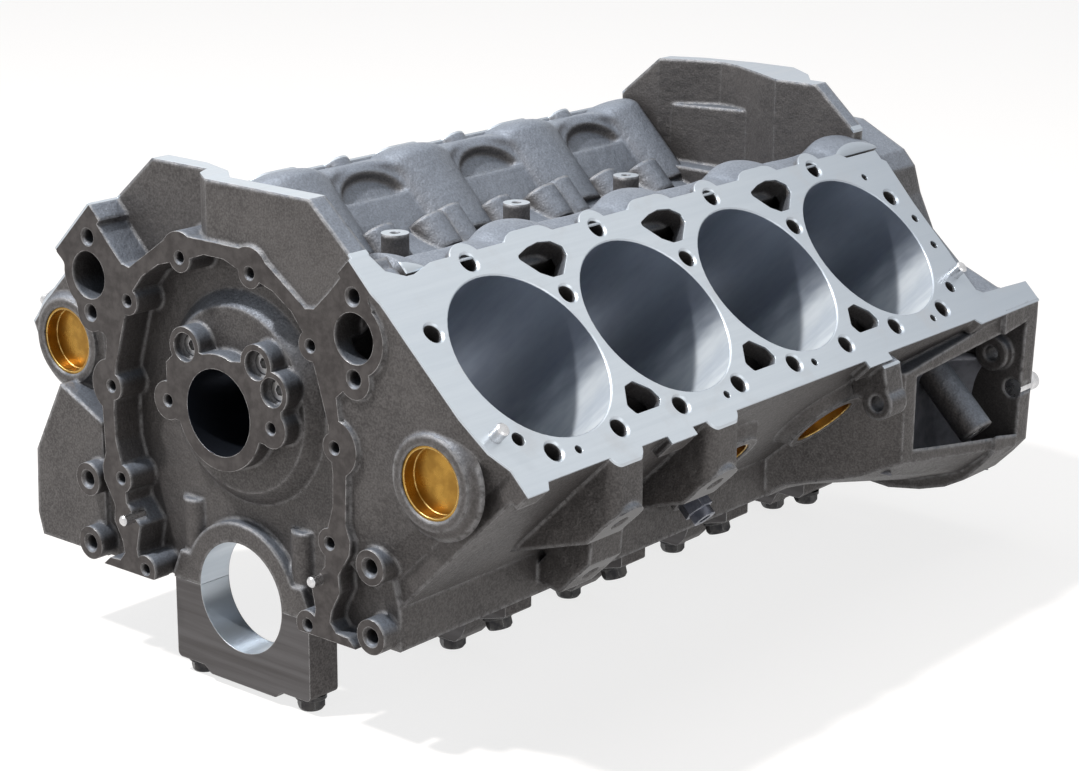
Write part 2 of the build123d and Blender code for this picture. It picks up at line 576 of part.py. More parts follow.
# main oil galleries, plugged at both ends
GALLERY_R = 4.8
GALLERY_PLUG_R = 6.4
GALLERY_PLUG_T = 9.0
for x, z in GALLERY:
    fine.append(y_rod(x, z, 8.5, Y_FRONT - 1.0, Y_FRONT + 6.0))
    fine.append(y_rod(x, z, GALLERY_PLUG_R + PLUG_GAP, Y_FRONT, Y_FRONT + 6.0 + GALLERY_PLUG_T))
    fine.append(y_rod(x, z, GALLERY_R, Y_FRONT, REAR_FACE - 10.0))
    fine.append(y_rod(x, z, GALLERY_PLUG_R + PLUG_GAP, REAR_FACE - GALLERY_PLUG_T - 2.0, REAR_FACE + 1.0))

# core plug holes
for x, z, y0 in FRONT_CORES:
    fine.append(y_rod(x, z, CORE_R + PLUG_GAP, y0 - 1.0, y0 + CORE_CUP_DEEP + 3.5))
for s, y0 in REAR_CORE_Y.items():
    fine.append(y_rod(s * REAR_CORE[0], REAR_CORE[1], CORE_R + PLUG_GAP, y0 - CORE_CUP_DEEP - 3.0, y0 + 1.0))
fine += both([rod(side_plane(SIDE_CORE_V), y, n, CORE_R + PLUG_GAP, 20.0, -18.0) for y, n in SIDE_CORES])
DRAIN_R = 8.0
fine += mirrored([rod(side_plane(DRAIN_V), DRAIN_Y, DRAIN_N, DRAIN_R + PLUG_GAP, 25.0, -24.0)])
fine += mirrored([tapped(side_plane(PAD_V), y, n, 4.8, 20.0) for y, n in pads])
fine.append(rod(side_plane(OIL_V), OIL_Y, OIL_N, 6.4 + PLUG_GAP, 11.0, -10.0))
fine.append(y_rod(EAR[0], EAR[1], 5.0, 80.0, 120.0))
for y in MAINS[1:4]:
    fine.append(tapped(Plane.XY.offset(SPIDER_TOP), 0, y, 2.7, 16.0, 0.6))

# flywheel housing face
HOUSING_BOLTS = [(205.6, 100.0), (192.6, 73.4), (130.0, 128.0), (64.0, 202.0), (168.0, -12.0)]
for x, z in HOUSING_BOLTS:
    fine += mirrored([y_rod(x, z, 5.0, Y_REAR - FLANGE_T - 12.0, Y_REAR + 1.0)])
HOUSING_DOWELS = [(205.8, 50.0), (-205.8, 50.0)]
HOUSING_DOWEL_R = 6.35
fine += [y_rod(x, z, HOUSING_DOWEL_R + DOWEL_GAP, Y_REAR - FLANGE_T - 1.0, Y_REAR + 1.0) for x, z in HOUSING_DOWELS]
CAM_PLUG_R = 27.5
CAM_PLUG_DEEP = 6.0
fine.append(y_rod(0, CAM_H, CAM_PLUG_R + PLUG_GAP, REAR_FACE - CAM_PLUG_DEEP, REAR_FACE + 1.0))

# oil pan rail and oil filter pad
UNDER = Plane(origin=(0, 0, 0), x_dir=(1, 0, 0), z_dir=(0, 0, -1))
RAIL_BOLTS = [-222.0, -166.0, -111.0, -56.0, 0.0, 56.0, 111.0, 166.0]
for y in RAIL_BOLTS:
    fine += mirrored([tapped(UNDER, 116.0, -y, 3.2, 16.0, 0.8)])

# main cap bolt holes
cap_bolts = []
for k, m in enumerate(MAINS):
    y = sum(BULK_1) / 2 if k == 0 else sum(BULK_5) / 2 if k == 4 else m
    cap_bolts += [(s * CAP_BOLT_X, y, k) for s in (-1, 1)]
for x, y, k in cap_bolts:
    depth = BOLT_COLUMN - 6.0 if k == 0 else 55.0
    fine.append(tapped(UNDER, x, -y, CAP_BOLT_R, depth, 0.8))

# narrow reliefs that part the bearing cap seats from the pan rail
REGISTER_GAP = 5.0
for k, span in enumerate(bay_walls):
    inner = 56.0 if k == 0 else 86.0 if k == 4 else 98.5
    reach = REAR_FACE + 8.0 if k == 4 else span[1] + 0.5
    fine += mirrored([front_poly([(inner, -1.0), (inner + REGISTER_GAP, -1.0), (inner + REGISTER_GAP, 1.5), (inner, 1.5)],
                                 span[0] - 1.0, reach)])
SPLAY_X = 72.0
SPLAY_DEG = 16.0


def splay_plane(y, side):
    """Axis of an outer cap bolt where it crosses the parting plane, pointing down and outward."""
    axis = Vector(side * sin(radians(SPLAY_DEG)), 0, -cos(radians(SPLAY_DEG)))
    return Plane(origin=(side * SPLAY_X, y, 0), x_dir=(0, 1, 0), z_dir=axis)


for m in MAINS[1:4]:
    for side in (-1, 1):
        fine.append(rod(splay_plane(m, side), 0, 0, SPLAY_R, 48.0, -45.0))
REAR_OUTER_X = 72.5
for x in (-REAR_OUTER_X, REAR_OUTER_X):
    fine.append(tapped(UNDER, x, -sum(BULK_5) / 2, SPLAY_R, 36.0, 0.8))
casting = casting.cut(*fine).solids().sort_by(SortBy.VOLUME)[-1]


def save(name, shape):
    """Write one node."""
    shape.label = name
    export_step(shape, f"parts/{name}.step")
    print(name, shape.is_valid, round(shape.volume / 1e3, 2), len(shape.faces()))


save("block_casting", casting)

# main bearing caps
CAP_Z = 54.3
SEAT_Z = 50.0
SPLAY_SEAT = 30.0
front_cap_half = [(55.0, 0.0), (55.0, -SEAT_Z + 2.0), (53.0, -SEAT_Z), (32.0, -SEAT_Z), (27.0, -CAP_Z)]
middle_cap_half = [
    (97.0, 0.0), (97.0, -24.0), (67.5, -32.5), (63.0, -44.0), (57.0, -SEAT_Z), (32.0, -SEAT_Z), (27.0, -CAP_Z),
]
rear_cap_half = [(84.0, 0.0), (84.0, -36.0), (80.0, -40.0), (62.0, -40.0), (57.0, -SEAT_Z), (32.0, -SEAT_Z), (27.0, -CAP_Z)]


def cap(half, y0, y1, holes):
    """Bearing cap with its bore, bolt holes and bolt seats."""
    body = front_poly(sym(half), y0, y1)
    long_edges = body.edges().filter_by(Axis.Y)
    body = chamfer([e for e in long_edges if e.center().Z < -5.0], 0.8)
    return body.cut(y_rod(0, 0, MAIN_R, y0 - 1.0, y1 + 1.0), *holes)


def bolt_axis(x, y):
    """Plane on the parting line pointing straight down."""
    return Plane(origin=(x, y, 0), x_dir=(0, 1, 0), z_dir=(0, 0, -1))


HEAD_H = 9.0
HEAD_AF = 14.3
FLANGE_R = 9.2
FLANGE_H = 2.4


def cap_bolt(axis, seat, radius, depth):
    """Flanged hex bolt: the axis plane lies on the parting line and points away from the block."""
    shank = rod(axis, 0, 0, radius - 0.05, seat + depth, -depth)
    flange = rod(axis, 0, 0, FLANGE_R, FLANGE_H, seat)
    head = extrude(axis.offset(seat + FLANGE_H) * RegularPolygon(HEAD_AF / 2, 6, major_radius=False),
                   amount=HEAD_H - FLANGE_H, dir=axis.z_dir)
    crown = axis.offset(seat) * Cone(HEAD_AF * 0.5 + 6.0, HEAD_AF * 0.5 - 0.3, HEAD_H, align=(Align.CENTER,) * 2 + (Align.MIN,))
    return shank + ((flange + head) & crown)


def clear_hole(axis, seat, radius):
    """Clearance hole through a cap."""
    return rod(axis, 0, 0, radius + BOLT_CLEAR, seat + 15.0, -4.0)


CAP_NAMES = ["front", "second", "middle", "fourth", "rear"]
for k, name in enumerate(CAP_NAMES):
    if k == 0:
        span, half = BULK_1, front_cap_half
    elif k == 4:
        span, half = BULK_5, rear_cap_half
    else:
        span, half = (MAINS[k] - CAP_T / 2, MAINS[k] + CAP_T / 2), middle_cap_half
    mid = sum(span) / 2
    reach = BOLT_COLUMN - 10.0 if k == 0 else 50.0
    fasteners = [(bolt_axis(s * CAP_BOLT_X, mid), SEAT_Z, CAP_BOLT_R, reach) for s in (-1, 1)]
    if 0 < k < 4:
        fasteners += [(splay_plane(mid, s), SPLAY_SEAT, SPLAY_R, 40.0) for s in (-1, 1)]
    if k == 4:
        fasteners += [(bolt_axis(s * REAR_OUTER_X, mid), 40.0, SPLAY_R, 30.0) for s in (-1, 1)]
    save(f"main_cap_{k + 1}_{name}", cap(half, span[0], span[1], [clear_hole(a, b, r) for a, b, r, d in fasteners]))
    save(f"cap_bolts_{k + 1}_{name}", Compound([cap_bolt(*f) for f in fasteners]))


# core plugs: thin cups pressed in with the open side outward
CUP_H = 9.5
CUP_SUNK = 0.8


def cup(plane, a, b, radius, height):
    """Pressed cup whose rim lies just below the face of its plane."""
    outer = rod(plane, a, b, radius, height, -CUP_SUNK - height)
    inner = rod(plane, a, b, radius - CORE_WALL, height, -CUP_SUNK - height + CORE_WALL)
    return outer.cut(inner)


for side, (x, z, y0) in zip(("left", "right"), FRONT_CORES):
    face = Plane(origin=(0, y0, 0), x_dir=(1, 0, 0), z_dir=(0, -1, 0))
    save(f"core_plug_front_{side}", cup(face, x, z, CORE_R, CUP_H))
for side, s in (("left", 1), ("right", -1)):
    face = Plane(origin=(0, REAR_CORE_Y[s], 0), x_dir=(-1, 0, 0), z_dir=(0, 1, 0))
    save(f"core_plug_rear_{side}", cup(face, -s * REAR_CORE[0], REAR_CORE[1], CORE_R, CUP_H))
for k, (y, n) in enumerate(SIDE_CORES):
    plug = cup(side_plane(SIDE_CORE_V), y, n, CORE_R, CUP_H)
    save(f"core_plug_left_{k + 1}", plug)
    save(f"core_plug_right_{k + 1}", to_right(plug))
rear_face = Plane(origin=(0, REAR_FACE, 0), x_dir=(-1, 0, 0), z_dir=(0, 1, 0))
save("cam_plug_rear", cup(rear_face, 0, CAM_H, CAM_PLUG_R, CAM_PLUG_DEEP - CUP_SUNK))


def socket_plug(plane, a, b, radius, height, sunk, af):
    """Threaded plug with a hex socket, its top sunk below the plane."""
    body = rod(plane, a, b, radius, height, -sunk - height)
    top = plane.offset(-sunk - height) * Pos(a, b, 0)
    cone = top * Cone(radius + height - 0.7, radius - 0.7, height, align=(Align.CENTER,) * 2 + (Align.MIN,))
    socket = extrude(plane.offset(-sunk - height * 0.6) * Pos(a, b) * RegularPolygon(af / 2, 6, major_radius=False),
                     amount=height, dir=plane.z_dir)
    return (body & cone).cut(socket)


SOCKET_AF = 5.6
PLUG_H = GALLERY_PLUG_T - 1.0
for k, (x, z) in enumerate(GALLERY):
    save(f"gallery_plug_front_{k + 1}", socket_plug(XZ_FRONT, x, z, GALLERY_PLUG_R, PLUG_H, 6.2, SOCKET_AF))
    save(f"gallery_plug_rear_{k + 1}", socket_plug(rear_face, -x, z, GALLERY_PLUG_R, PLUG_H, 0.8, SOCKET_AF))
save("oil_boss_plug", socket_plug(side_plane(OIL_V), OIL_Y, OIL_N, 6.4, PLUG_H, 0.5, SOCKET_AF))


def drain_plug():
    """Hex-headed drain plug with a socket in its head."""
    plane = side_plane(DRAIN_V)
    shank = rod(plane, DRAIN_Y, DRAIN_N, DRAIN_R, 14.0, -14.0)
    head = extrude(plane * Pos(DRAIN_Y, DRAIN_N) * RegularPolygon(8.5, 6, major_radius=False), amount=9.0, dir=plane.z_dir)
    collar = rod(plane, DRAIN_Y, DRAIN_N, 7.4, 6.0, 9.0)
    socket = extrude(plane.offset(9.0) * Pos(DRAIN_Y, DRAIN_N) * RegularPolygon(4.0, 6, major_radius=False),
                     amount=7.0, dir=plane.z_dir)
    return (shank + head + collar).cut(socket)


left_drain = drain_plug()
save("drain_plug_left", left_drain)
save("drain_plug_right", left_drain.mirror(Plane.YZ))


def dowel(plane, a, b, radius, depth, out):
    """Round dowel pin with a chamfered tip."""
    pin = rod(plane, a, b, radius, depth + out, -depth)
    tip = plane.offset(-depth) * Pos(a, b, 0) * Cone(
        radius + depth + out - 0.9, radius - 0.9, depth + out, align=(Align.CENTER,) * 2 + (Align.MIN,))
    return pin & tip


for end, (y, v) in zip(("front", "rear"), HEAD_DOWELS):
    pin = dowel(DECK, y, -v, DOWEL_R, DOWEL_DEEP - 0.2, 8.5)
    save(f"head_dowel_left_{end}", pin)
    save(f"head_dowel_right_{'rear' if end == 'front' else 'front'}", to_right(pin))
for side, (x, z) in zip(("left", "right"), TIMING_DOWELS):
    save(f"timing_dowel_{side}", dowel(XZ_FRONT, x, z, TIMING_DOWEL_R, DOWEL_DEEP - 0.2, 7.6))
for side, (x, z) in zip(("left", "right"), HOUSING_DOWELS):
    save(f"housing_dowel_{side}", dowel(XZ_REAR, -x, z, HOUSING_DOWEL_R, FLANGE_T - 0.5, 12.0))
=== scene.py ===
"""Finishes, added castings and studio for a bare cast engine block.

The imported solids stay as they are. This file gives each of them its finish: sand-cast iron with
machined faces and honed bores, milled bearing caps, black bolts, brass core plugs and steel pins.
It adds the cast walls of the lifter valley and the rounded linings of the skirt pockets, and sets
the floor, the lamps, the even light and the camera.
"""

import json
from math import cos, pi, radians, sin

import bmesh
import bpy
import numpy as np
from bpy.props import FloatProperty, FloatVectorProperty, PointerProperty
from mathutils import Matrix, Vector


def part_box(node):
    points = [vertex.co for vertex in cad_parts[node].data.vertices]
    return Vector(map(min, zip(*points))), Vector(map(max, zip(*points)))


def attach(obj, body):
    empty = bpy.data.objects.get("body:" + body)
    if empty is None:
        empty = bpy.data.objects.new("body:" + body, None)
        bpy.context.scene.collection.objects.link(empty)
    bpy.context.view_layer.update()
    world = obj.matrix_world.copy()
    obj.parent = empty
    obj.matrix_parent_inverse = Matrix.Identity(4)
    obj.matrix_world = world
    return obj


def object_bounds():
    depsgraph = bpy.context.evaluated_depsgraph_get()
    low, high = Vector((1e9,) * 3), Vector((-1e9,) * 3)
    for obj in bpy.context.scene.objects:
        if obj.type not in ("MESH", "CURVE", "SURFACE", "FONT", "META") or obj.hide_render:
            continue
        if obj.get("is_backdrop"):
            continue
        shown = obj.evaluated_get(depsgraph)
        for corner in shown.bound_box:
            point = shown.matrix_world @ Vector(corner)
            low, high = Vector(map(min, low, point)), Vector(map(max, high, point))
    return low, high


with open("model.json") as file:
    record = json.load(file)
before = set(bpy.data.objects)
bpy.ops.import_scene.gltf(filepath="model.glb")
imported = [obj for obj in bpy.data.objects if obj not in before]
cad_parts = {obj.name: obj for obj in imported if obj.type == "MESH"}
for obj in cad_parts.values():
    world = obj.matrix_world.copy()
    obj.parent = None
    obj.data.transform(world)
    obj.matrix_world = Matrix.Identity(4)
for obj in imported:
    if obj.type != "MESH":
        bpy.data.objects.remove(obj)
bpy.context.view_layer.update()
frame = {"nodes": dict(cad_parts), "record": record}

bl_info = {
    "name": "Engine block finishes",
    "version": (1, 0, 0),
    "blender": (4, 5, 0),
    "location": "View3D > Sidebar > Engine block",
    "description": "Cast, machined, honed and fitted finishes for a bare engine block, with its studio",
    "category": "Object",
}

MM = 0.001
X_AXIS, Y_AXIS, Z_AXIS = (1.0, 0.0, 0.0), (0.0, 1.0, 0.0), (0.0, 0.0, 1.0)
FORWARD, DOWN = (0.0, -1.0, 0.0), (0.0, 0.0, -1.0)

# places that the finishes follow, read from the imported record, in metres
MOUNTS = {mount["name"]: mount for mount in frame["record"]["mounts"]}


def mount_place(name):
    """Position of a mount."""
    return Vector(MOUNTS[name]["pos_m"])


def mount_radius(name):
    """Radius of a round mount, in metres."""
    return MOUNTS[name]["dims"]["r_mm"] * MM


LEFT_NORMAL = Vector(MOUNTS["left_deck"]["axis"])
RIGHT_NORMAL = Vector(MOUNTS["right_deck"]["axis"])
DECK_HEIGHT = mount_place("left_deck").dot(LEFT_NORMAL)
BORE_RADIUS = mount_radius("cylinder_left_1")
LEFT_FIRST_Y = mount_place("cylinder_left_1").y
RIGHT_FIRST_Y = mount_place("cylinder_right_1").y
BORE_PITCH = mount_place("cylinder_left_2").y - LEFT_FIRST_Y
# bolt patterns are stated this far inside their faces, clear of the holes' lead-ins
PATTERN_INSET = 0.002
FRONT_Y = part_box("block_casting")[0][1]
REAR_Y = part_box("block_casting")[1][1]
RETAINER_Z = mount_place("valley_retainer").z + PATTERN_INSET
CAM_PLACE = mount_place("cam_bore")
CAM_RADIUS = mount_radius("cam_bore")
MAIN_RADIUS = mount_radius("main_bore")
VALLEY_WALL_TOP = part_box("block_casting")[1][2]
ENGINE_MOUNT_X = mount_place("engine_mount_left").x
ENGINE_MOUNT_REACH = mount_place("engine_mount_left").dot(Vector(MOUNTS["engine_mount_left"]["axis"]))
BORE_LOW = mount_place("cylinder_left_1").dot(LEFT_NORMAL) - MOUNTS["cylinder_left_1"]["dims"]["length_mm"] * MM

# bores in one bank, and half the widths of a deck and of an engine mount pad, in metres
BORE_COUNT = 4
DECK_HALF_WIDTH = 0.085
PAD_HALF_WIDTH = 0.035

# how near a surface lies to a machined plane or bore, in metres, and how squarely it faces it, as a cosine
PLANE_DEPTH = 0.00025
RIM_WIDTH = 0.0011
BORE_SLACK = 0.0003
TURNED_SLACK = 0.0004
PLANE_FACING = 0.995
INWARD_FACING = -0.8

# points of the added pieces along Y and across their faces, and the widths of their soft edges, in metres
WALL_POINTS = (330, 84)
LINING_POINTS = (70, 48)
HOLLOW_EDGE = 0.003
ARCH_WIDTH = 0.0032
LINING_FRONT_EDGE = 0.030
LINING_REAR_EDGE = 0.026


def tone(name, description, value):
    """Setting for a colour."""
    return FloatVectorProperty(name=name, description=description, subtype="COLOR", default=value, min=0.0, max=1.0)


def length(name, description, value, **limits):
    """Setting for a length, in metres."""
    return FloatProperty(name=name, description=description, subtype="DISTANCE", default=value, **limits)


def power(name, description, value):
    """Setting for the power of a lamp, in watts."""
    return FloatProperty(name=name, description=description, subtype="POWER", default=value, min=0.0)


class FinishSettings(bpy.types.PropertyGroup):
    """Colours and grain sizes of the finishes."""

    cast_dark: tone("Cast dark", "Cast iron in the hollows of its grain", (0.052, 0.047, 0.046))
    cast_light: tone("Cast light", "Cast iron on the crests of its grain", (0.112, 0.104, 0.101))
    machined: tone("Machined", "Freshly machined deck and rails", (0.55, 0.60, 0.65))
    flange: tone("Front flange", "Older machined front flange with a brown cast", (0.055, 0.050, 0.049))
    honed: tone("Honed", "Honed cylinder walls", (0.56, 0.61, 0.67))
    brass: tone("Brass", "Core plugs", (0.27, 0.145, 0.028))
    oxide: tone("Black oxide", "Cap bolts", (0.030, 0.030, 0.033))
    steel: tone("Bare steel", "Pins and threaded plugs", (0.50, 0.50, 0.51))
    # painted light: paler, bluer cast faces that look up, standing in for the sky's light on them
    painted_sky_light: tone("Painted sky light", "Painted sky light, pale and bluish, on cast faces that look up", (0.270, 0.310, 0.375))
    cast_cloud: tone("Cast clouds", "Slow pale clouds on the cast skin", (0.170, 0.158, 0.152))
    # rubbed edges of the casting, brightened further as painted edge highlights
    cast_edge_wear_and_highlight: tone("Cast edge wear and highlights", "Rubbed edges of the casting, with painted edge highlights", (0.40, 0.395, 0.40))
    # painted shade: the cast skin darkens in corners and hollows, where ambient occlusion finds it shut in
    cast_painted_corner_shade: tone("Cast painted corner shade", "Painted shade in the corners and hollows of the casting", (0.030, 0.027, 0.027))
    flange_streak: tone("Flange streaks", "Pale cutter streaks on the front flange", (0.088, 0.081, 0.079))
    # rubbed edges of the front flange, brightened further as painted edge highlights
    flange_edge_wear_and_highlight: tone("Flange edge wear and highlights", "Rubbed edges of the front flange, with painted edge highlights", (0.70, 0.69, 0.69))
    machined_streak: tone("Machined streaks", "Pale cutter streaks on the machined faces", (0.60, 0.65, 0.70))
    # painted reflection: machined faces dim from front to rear, as a reflection of the sky would
    machined_painted_reflection_rear: tone("Machined painted reflection, rear", "Painted reflection on the machined faces, dimmer towards the rear", (0.40, 0.445, 0.50))
    machined_stain: tone("Machined stains", "Handling stains on the machined faces", (0.47, 0.475, 0.49))
    honed_band: tone("Honed bands", "Pale bands of the honing", (0.84, 0.88, 0.91))
    # painted shade: the side of the cylinder walls next to the valley is darker, the side away from it lit
    honed_painted_shade: tone("Honed painted shade side", "Painted shade on the side of the cylinders next to the valley", (0.230, 0.260, 0.325))
    honed_painted_shade_band: tone("Honed painted shade bands", "Pale bands in that painted shade", (0.300, 0.340, 0.410))
    # painted shade: the turned wall of the cam tunnel is dark, as if in shadow
    cam_tunnel_painted_shade: tone("Cam tunnel painted shade", "Painted shade on the turned wall of the cam tunnel", (0.045, 0.052, 0.070))
    cap_side: tone("Cap sides", "Milled sides of the bearing caps", (0.075, 0.070, 0.070))
    cap_streak: tone("Cap streaks", "Pale cutter streaks on the caps", (0.115, 0.110, 0.112))
    # rubbed edges of the bearing caps, brightened further as painted edge highlights
    cap_edge_wear_and_highlight: tone("Cap edge wear and highlights", "Rubbed edges of the bearing caps, with painted edge highlights", (0.42, 0.42, 0.42))
    grain: length("Sand grain", "Width of one grain of the cast skin", 0.0013, min=0.0002)
    cast_round: length("Cast rounding", "Radius that cast edges appear to have", 0.0042, min=0.0)
    milled_round: length("Milled rounding", "Radius that machined edges appear to have", 0.0007, min=0.0)


class ValleySettings(bpy.types.PropertyGroup):
    """Sizes of the valley's walls, square to the bores or along them, and of the pockets' linings."""

    face: length("Wall face", "Distance of the plain wall from the plane of the bores", 0.0810)
    back: length("Wall back", "Distance of the wall's back, inside the casting", 0.0660)
    foot: length("Foot", "Height of the wall's foot, inside the casting", 0.150)
    top: length("Top", "Height at which the wall ends under the deck", 0.2284)
    shoulder: length("Shoulder", "Height over which the wall leans back to the deck", 0.017, min=0.001)
    lean: length("Lean", "How far the wall leans back at its top", 0.0168)
    column_rise: length("Column rise", "How far the half-round columns stand proud", 0.0095)
    column_half: length("Column half width", "Half the width of a column", 0.026, min=0.001)
    arch_height: length("Arch height", "Height of the arches' centres", 0.1905)
    arch_radius: length("Arch radius", "Radius of the arched ridge over each hollow", 0.0290)
    arch_rise: length("Arch rise", "How far the arched ridge stands proud", 0.0018)
    hollow_radius: length("Hollow radius", "Height of the half-round hollows", 0.0205)
    hollow_squeeze: FloatProperty(
        name="Hollow squeeze", description="Height of the hollows and arches over half their width", default=0.70)
    hollow_depth: length("Hollow depth", "Depth of the half-round hollows", 0.0054)
    pocket_start: length("Pocket start", "Front end of the skirt pockets' lining", 0.150)
    pocket_end: length("Pocket end", "Rear end of the skirt pockets' lining", 0.2785)
    pocket_floor_front: length("Pocket floor, front", "Height of the lining's foot at the front", 0.0155)
    pocket_floor_rear: length("Pocket floor, rear", "Height of the lining's foot at the rear", -0.0130)
    pocket_roof: length("Pocket roof", "Height of the lining's top", 0.068)
    pocket_wall: length("Pocket wall", "Distance of the lining from the middle plane", 0.158)
    pocket_back: length("Pocket back", "Distance of the lining's back, inside the casting", 0.131)
    pocket_rise: length("Pocket rise", "How far the lining curves out at floor and roof", 0.013)
    pocket_swell: length("Pocket swell", "How far the lining curves out at its ends", 0.018)
    start: length("Start", "Where the walls start, inside the front wall", -0.226)
    end: length("End", "Where the walls end, inside the rear wall", 0.236)


class StudioSettings(bpy.types.PropertyGroup):
    """Camera, lamps and floor."""

    camera_place: FloatVectorProperty(
        name="Camera place", description="Where the camera stands", subtype="TRANSLATION",
        default=(1.00452, -1.18598, 0.53251))
    azimuth: FloatProperty(
        name="Azimuth", description="Turn of the view about the vertical", subtype="ANGLE", default=radians(39.71))
    elevation: FloatProperty(
        name="Elevation", description="How far the view looks down", subtype="ANGLE", default=radians(16.46))
    roll: FloatProperty(
        name="Roll", description="Turn of the view about its own axis", subtype="ANGLE", default=radians(0.317))
    lens: FloatProperty(
        name="Lens", description="Focal length on a 36 mm sensor", subtype="DISTANCE_CAMERA", unit="CAMERA",
        default=84.384, min=1.0)
    key_watts: power("Key lamp", "Power of the small lamp above the front, on the right bank's side", 114.0)
    key_way: FloatVectorProperty(
        name="Key direction", description="Direction from the block to the key lamp", subtype="DIRECTION",
        default=(-0.301, -0.463, 0.833))
    over_watts: power("Overhead lamp", "Power of the large soft lamp overhead", 13.0)
    fill_watts: power("Fill lamp", "Power of the large soft lamp on the left bank's side", 5.0)
    sky: FloatProperty(
        name="Sky", description="Strength of the even light all round", default=0.26, min=0.0)
    sky_tint: tone("Sky tint", "Colour of the even light all round", (0.84, 0.92, 1.0))
    floor: tone("Floor", "Colour of the floor", (0.27, 0.25, 0.235))
    floor_glow: FloatProperty(
        name="Floor glow", description="White added to the floor where the camera sees it", default=0.78, min=0.0)


class Tree:
    """Adds nodes to one node tree and links what is given to them."""

    def __init__(self, tree):
        self.tree = tree

    def put(self, socket, value):
        """Links a socket or sets a constant."""
        if isinstance(value, bpy.types.NodeSocket):
            self.tree.links.new(value, socket)
        elif socket.type == "RGBA" and len(value) == 3:
            socket.default_value = (*value, 1.0)
        else:
            socket.default_value = value

    def add(self, kind, settings=None, **inputs):
        """Adds one node, with its settings and its inputs given by name."""
        node = self.tree.nodes.new(kind)
        for key, value in (settings or {}).items():
            setattr(node, key, value)
        for key, value in inputs.items():
            self.put(node.inputs[key.replace("_", " ")], value)
        return node

    def math(self, operation, first, second=0.0):
        """One arithmetic step."""
        node = self.add("ShaderNodeMath", {"operation": operation})
        for socket, value in zip(node.inputs, (first, second)):
            self.put(socket, value)
        return node.outputs[0]

    def product(self, *factors):
        """Product of several numbers."""
        result = factors[0]
        for factor in factors[1:]:
            result = self.math("MULTIPLY", result, factor)
        return result

    def apart(self, first, second):
        """How far two numbers are apart."""
        return self.math("ABSOLUTE", self.math("SUBTRACT", first, second))

    def vector(self, operation, first, second=(0.0, 0.0, 0.0)):
        """One vector step; a dot product or length gives a number."""
        node = self.add("ShaderNodeVectorMath", {"operation": operation})
        self.put(node.inputs[0], first)
        self.put(node.inputs[1], second)
        return node.outputs["Value" if operation in ("DOT_PRODUCT", "LENGTH") else "Vector"]

    def dot(self, first, second):
        """Dot product of two vectors."""
        return self.vector("DOT_PRODUCT", first, second)

    def mix(self, share, first, second):
        """Blend of two numbers."""
        node = self.add("ShaderNodeMix")
        for socket, value in zip((node.inputs[0], node.inputs[2], node.inputs[3]), (share, first, second)):
            self.put(socket, value)
        return node.outputs[0]

    def tint(self, share, first, second):
        """Blend of two colours."""
        node = self.add("ShaderNodeMix", {"data_type": "RGBA"})
        for socket, value in zip((node.inputs[0], node.inputs[6], node.inputs[7]), (share, first, second)):
            self.put(socket, value)
        return node.outputs[2]

    def ramp(self, value, low, high):
        """Smooth step from 0 at low to 1 at high."""
        return self.add("ShaderNodeMapRange", {"interpolation_type": "SMOOTHSTEP"},
                        Value=value, From_Min=low, From_Max=high).outputs["Result"]

    def noise(self, place, size, detail=2.0, rough=0.5):
        """Noise whose features are about size metres wide."""
        scale = 1.0 / size if isinstance(size, float) else self.math("DIVIDE", 1.0, size)
        return self.add("ShaderNodeTexNoise", Vector=place, Scale=scale, Detail=detail, Roughness=rough).outputs["Fac"]

    def relief(self, shader, normal, height, distance, strength):
        """Bump over a normal, fed to a shader."""
        bump = self.add("ShaderNodeBump", Height=height, Distance=distance, Strength=strength, Normal=normal)
        self.put(shader.inputs["Normal"], bump.outputs[0])


def new_group(name, inputs, outputs):
    """Empty shader group with named sockets; returns its Tree, the sockets it is given and those it fills."""
    group = bpy.data.node_groups.new(name, "ShaderNodeTree")
    for label, kind in inputs:
        group.interface.new_socket(label, in_out="INPUT", socket_type=kind)
    for label, kind in outputs:
        group.interface.new_socket(label, in_out="OUTPUT", socket_type=kind)
    tree = Tree(group)
    entry = group.nodes.new("NodeGroupInput")
    leave = group.nodes.new("NodeGroupOutput")
    return tree, entry.outputs, leave.inputs


FLOAT, VECTOR = "NodeSocketFloat", "NodeSocketVector"


def face_group():
    """Mask of a machined plane: 1 where the surface faces along Direction and lies within Depth of it.

    Rim is 1 a little further from the plane and whichever way the surface faces.
    """
    tree, given, out = new_group("machined_face", [
        ("Place", VECTOR), ("Facing", VECTOR), ("Direction", VECTOR), ("Distance", FLOAT), ("Depth", FLOAT)],
        [("Mask", FLOAT), ("Rim", FLOAT)])
    off = tree.apart(tree.dot(given["Place"], given["Direction"]), given["Distance"])
    near = tree.math("LESS_THAN", off, given["Depth"])
    turned = tree.math("GREATER_THAN", tree.dot(given["Facing"], given["Direction"]), PLANE_FACING)
    tree.put(out["Mask"], tree.product(near, turned))
    tree.put(out["Rim"], tree.math("LESS_THAN", off, tree.math("ADD", given["Depth"], RIM_WIDTH)))


def turned_group():
    """Mask of a bore along Y: 1 where the distance from its axis is Radius and the surface faces the axis."""
    tree, given, out = new_group("turned_bore", [
        ("Place", VECTOR), ("Facing", VECTOR), ("Axis Height", FLOAT), ("Radius", FLOAT)], [("Mask", FLOAT)])
    lowered = tree.add("ShaderNodeCombineXYZ", X=0.0, Y=0.0, Z=given["Axis Height"])
    radial = tree.vector("MULTIPLY", tree.vector("SUBTRACT", given["Place"], lowered.outputs[0]), (1.0, 0.0, 1.0))
    near = tree.math("LESS_THAN", tree.apart(tree.vector("LENGTH", radial), given["Radius"]), TURNED_SLACK)
    toward = tree.math("LESS_THAN", tree.dot(given["Facing"], tree.vector("NORMALIZE", radial)), INWARD_FACING)
    tree.put(out["Mask"], tree.product(near, toward))


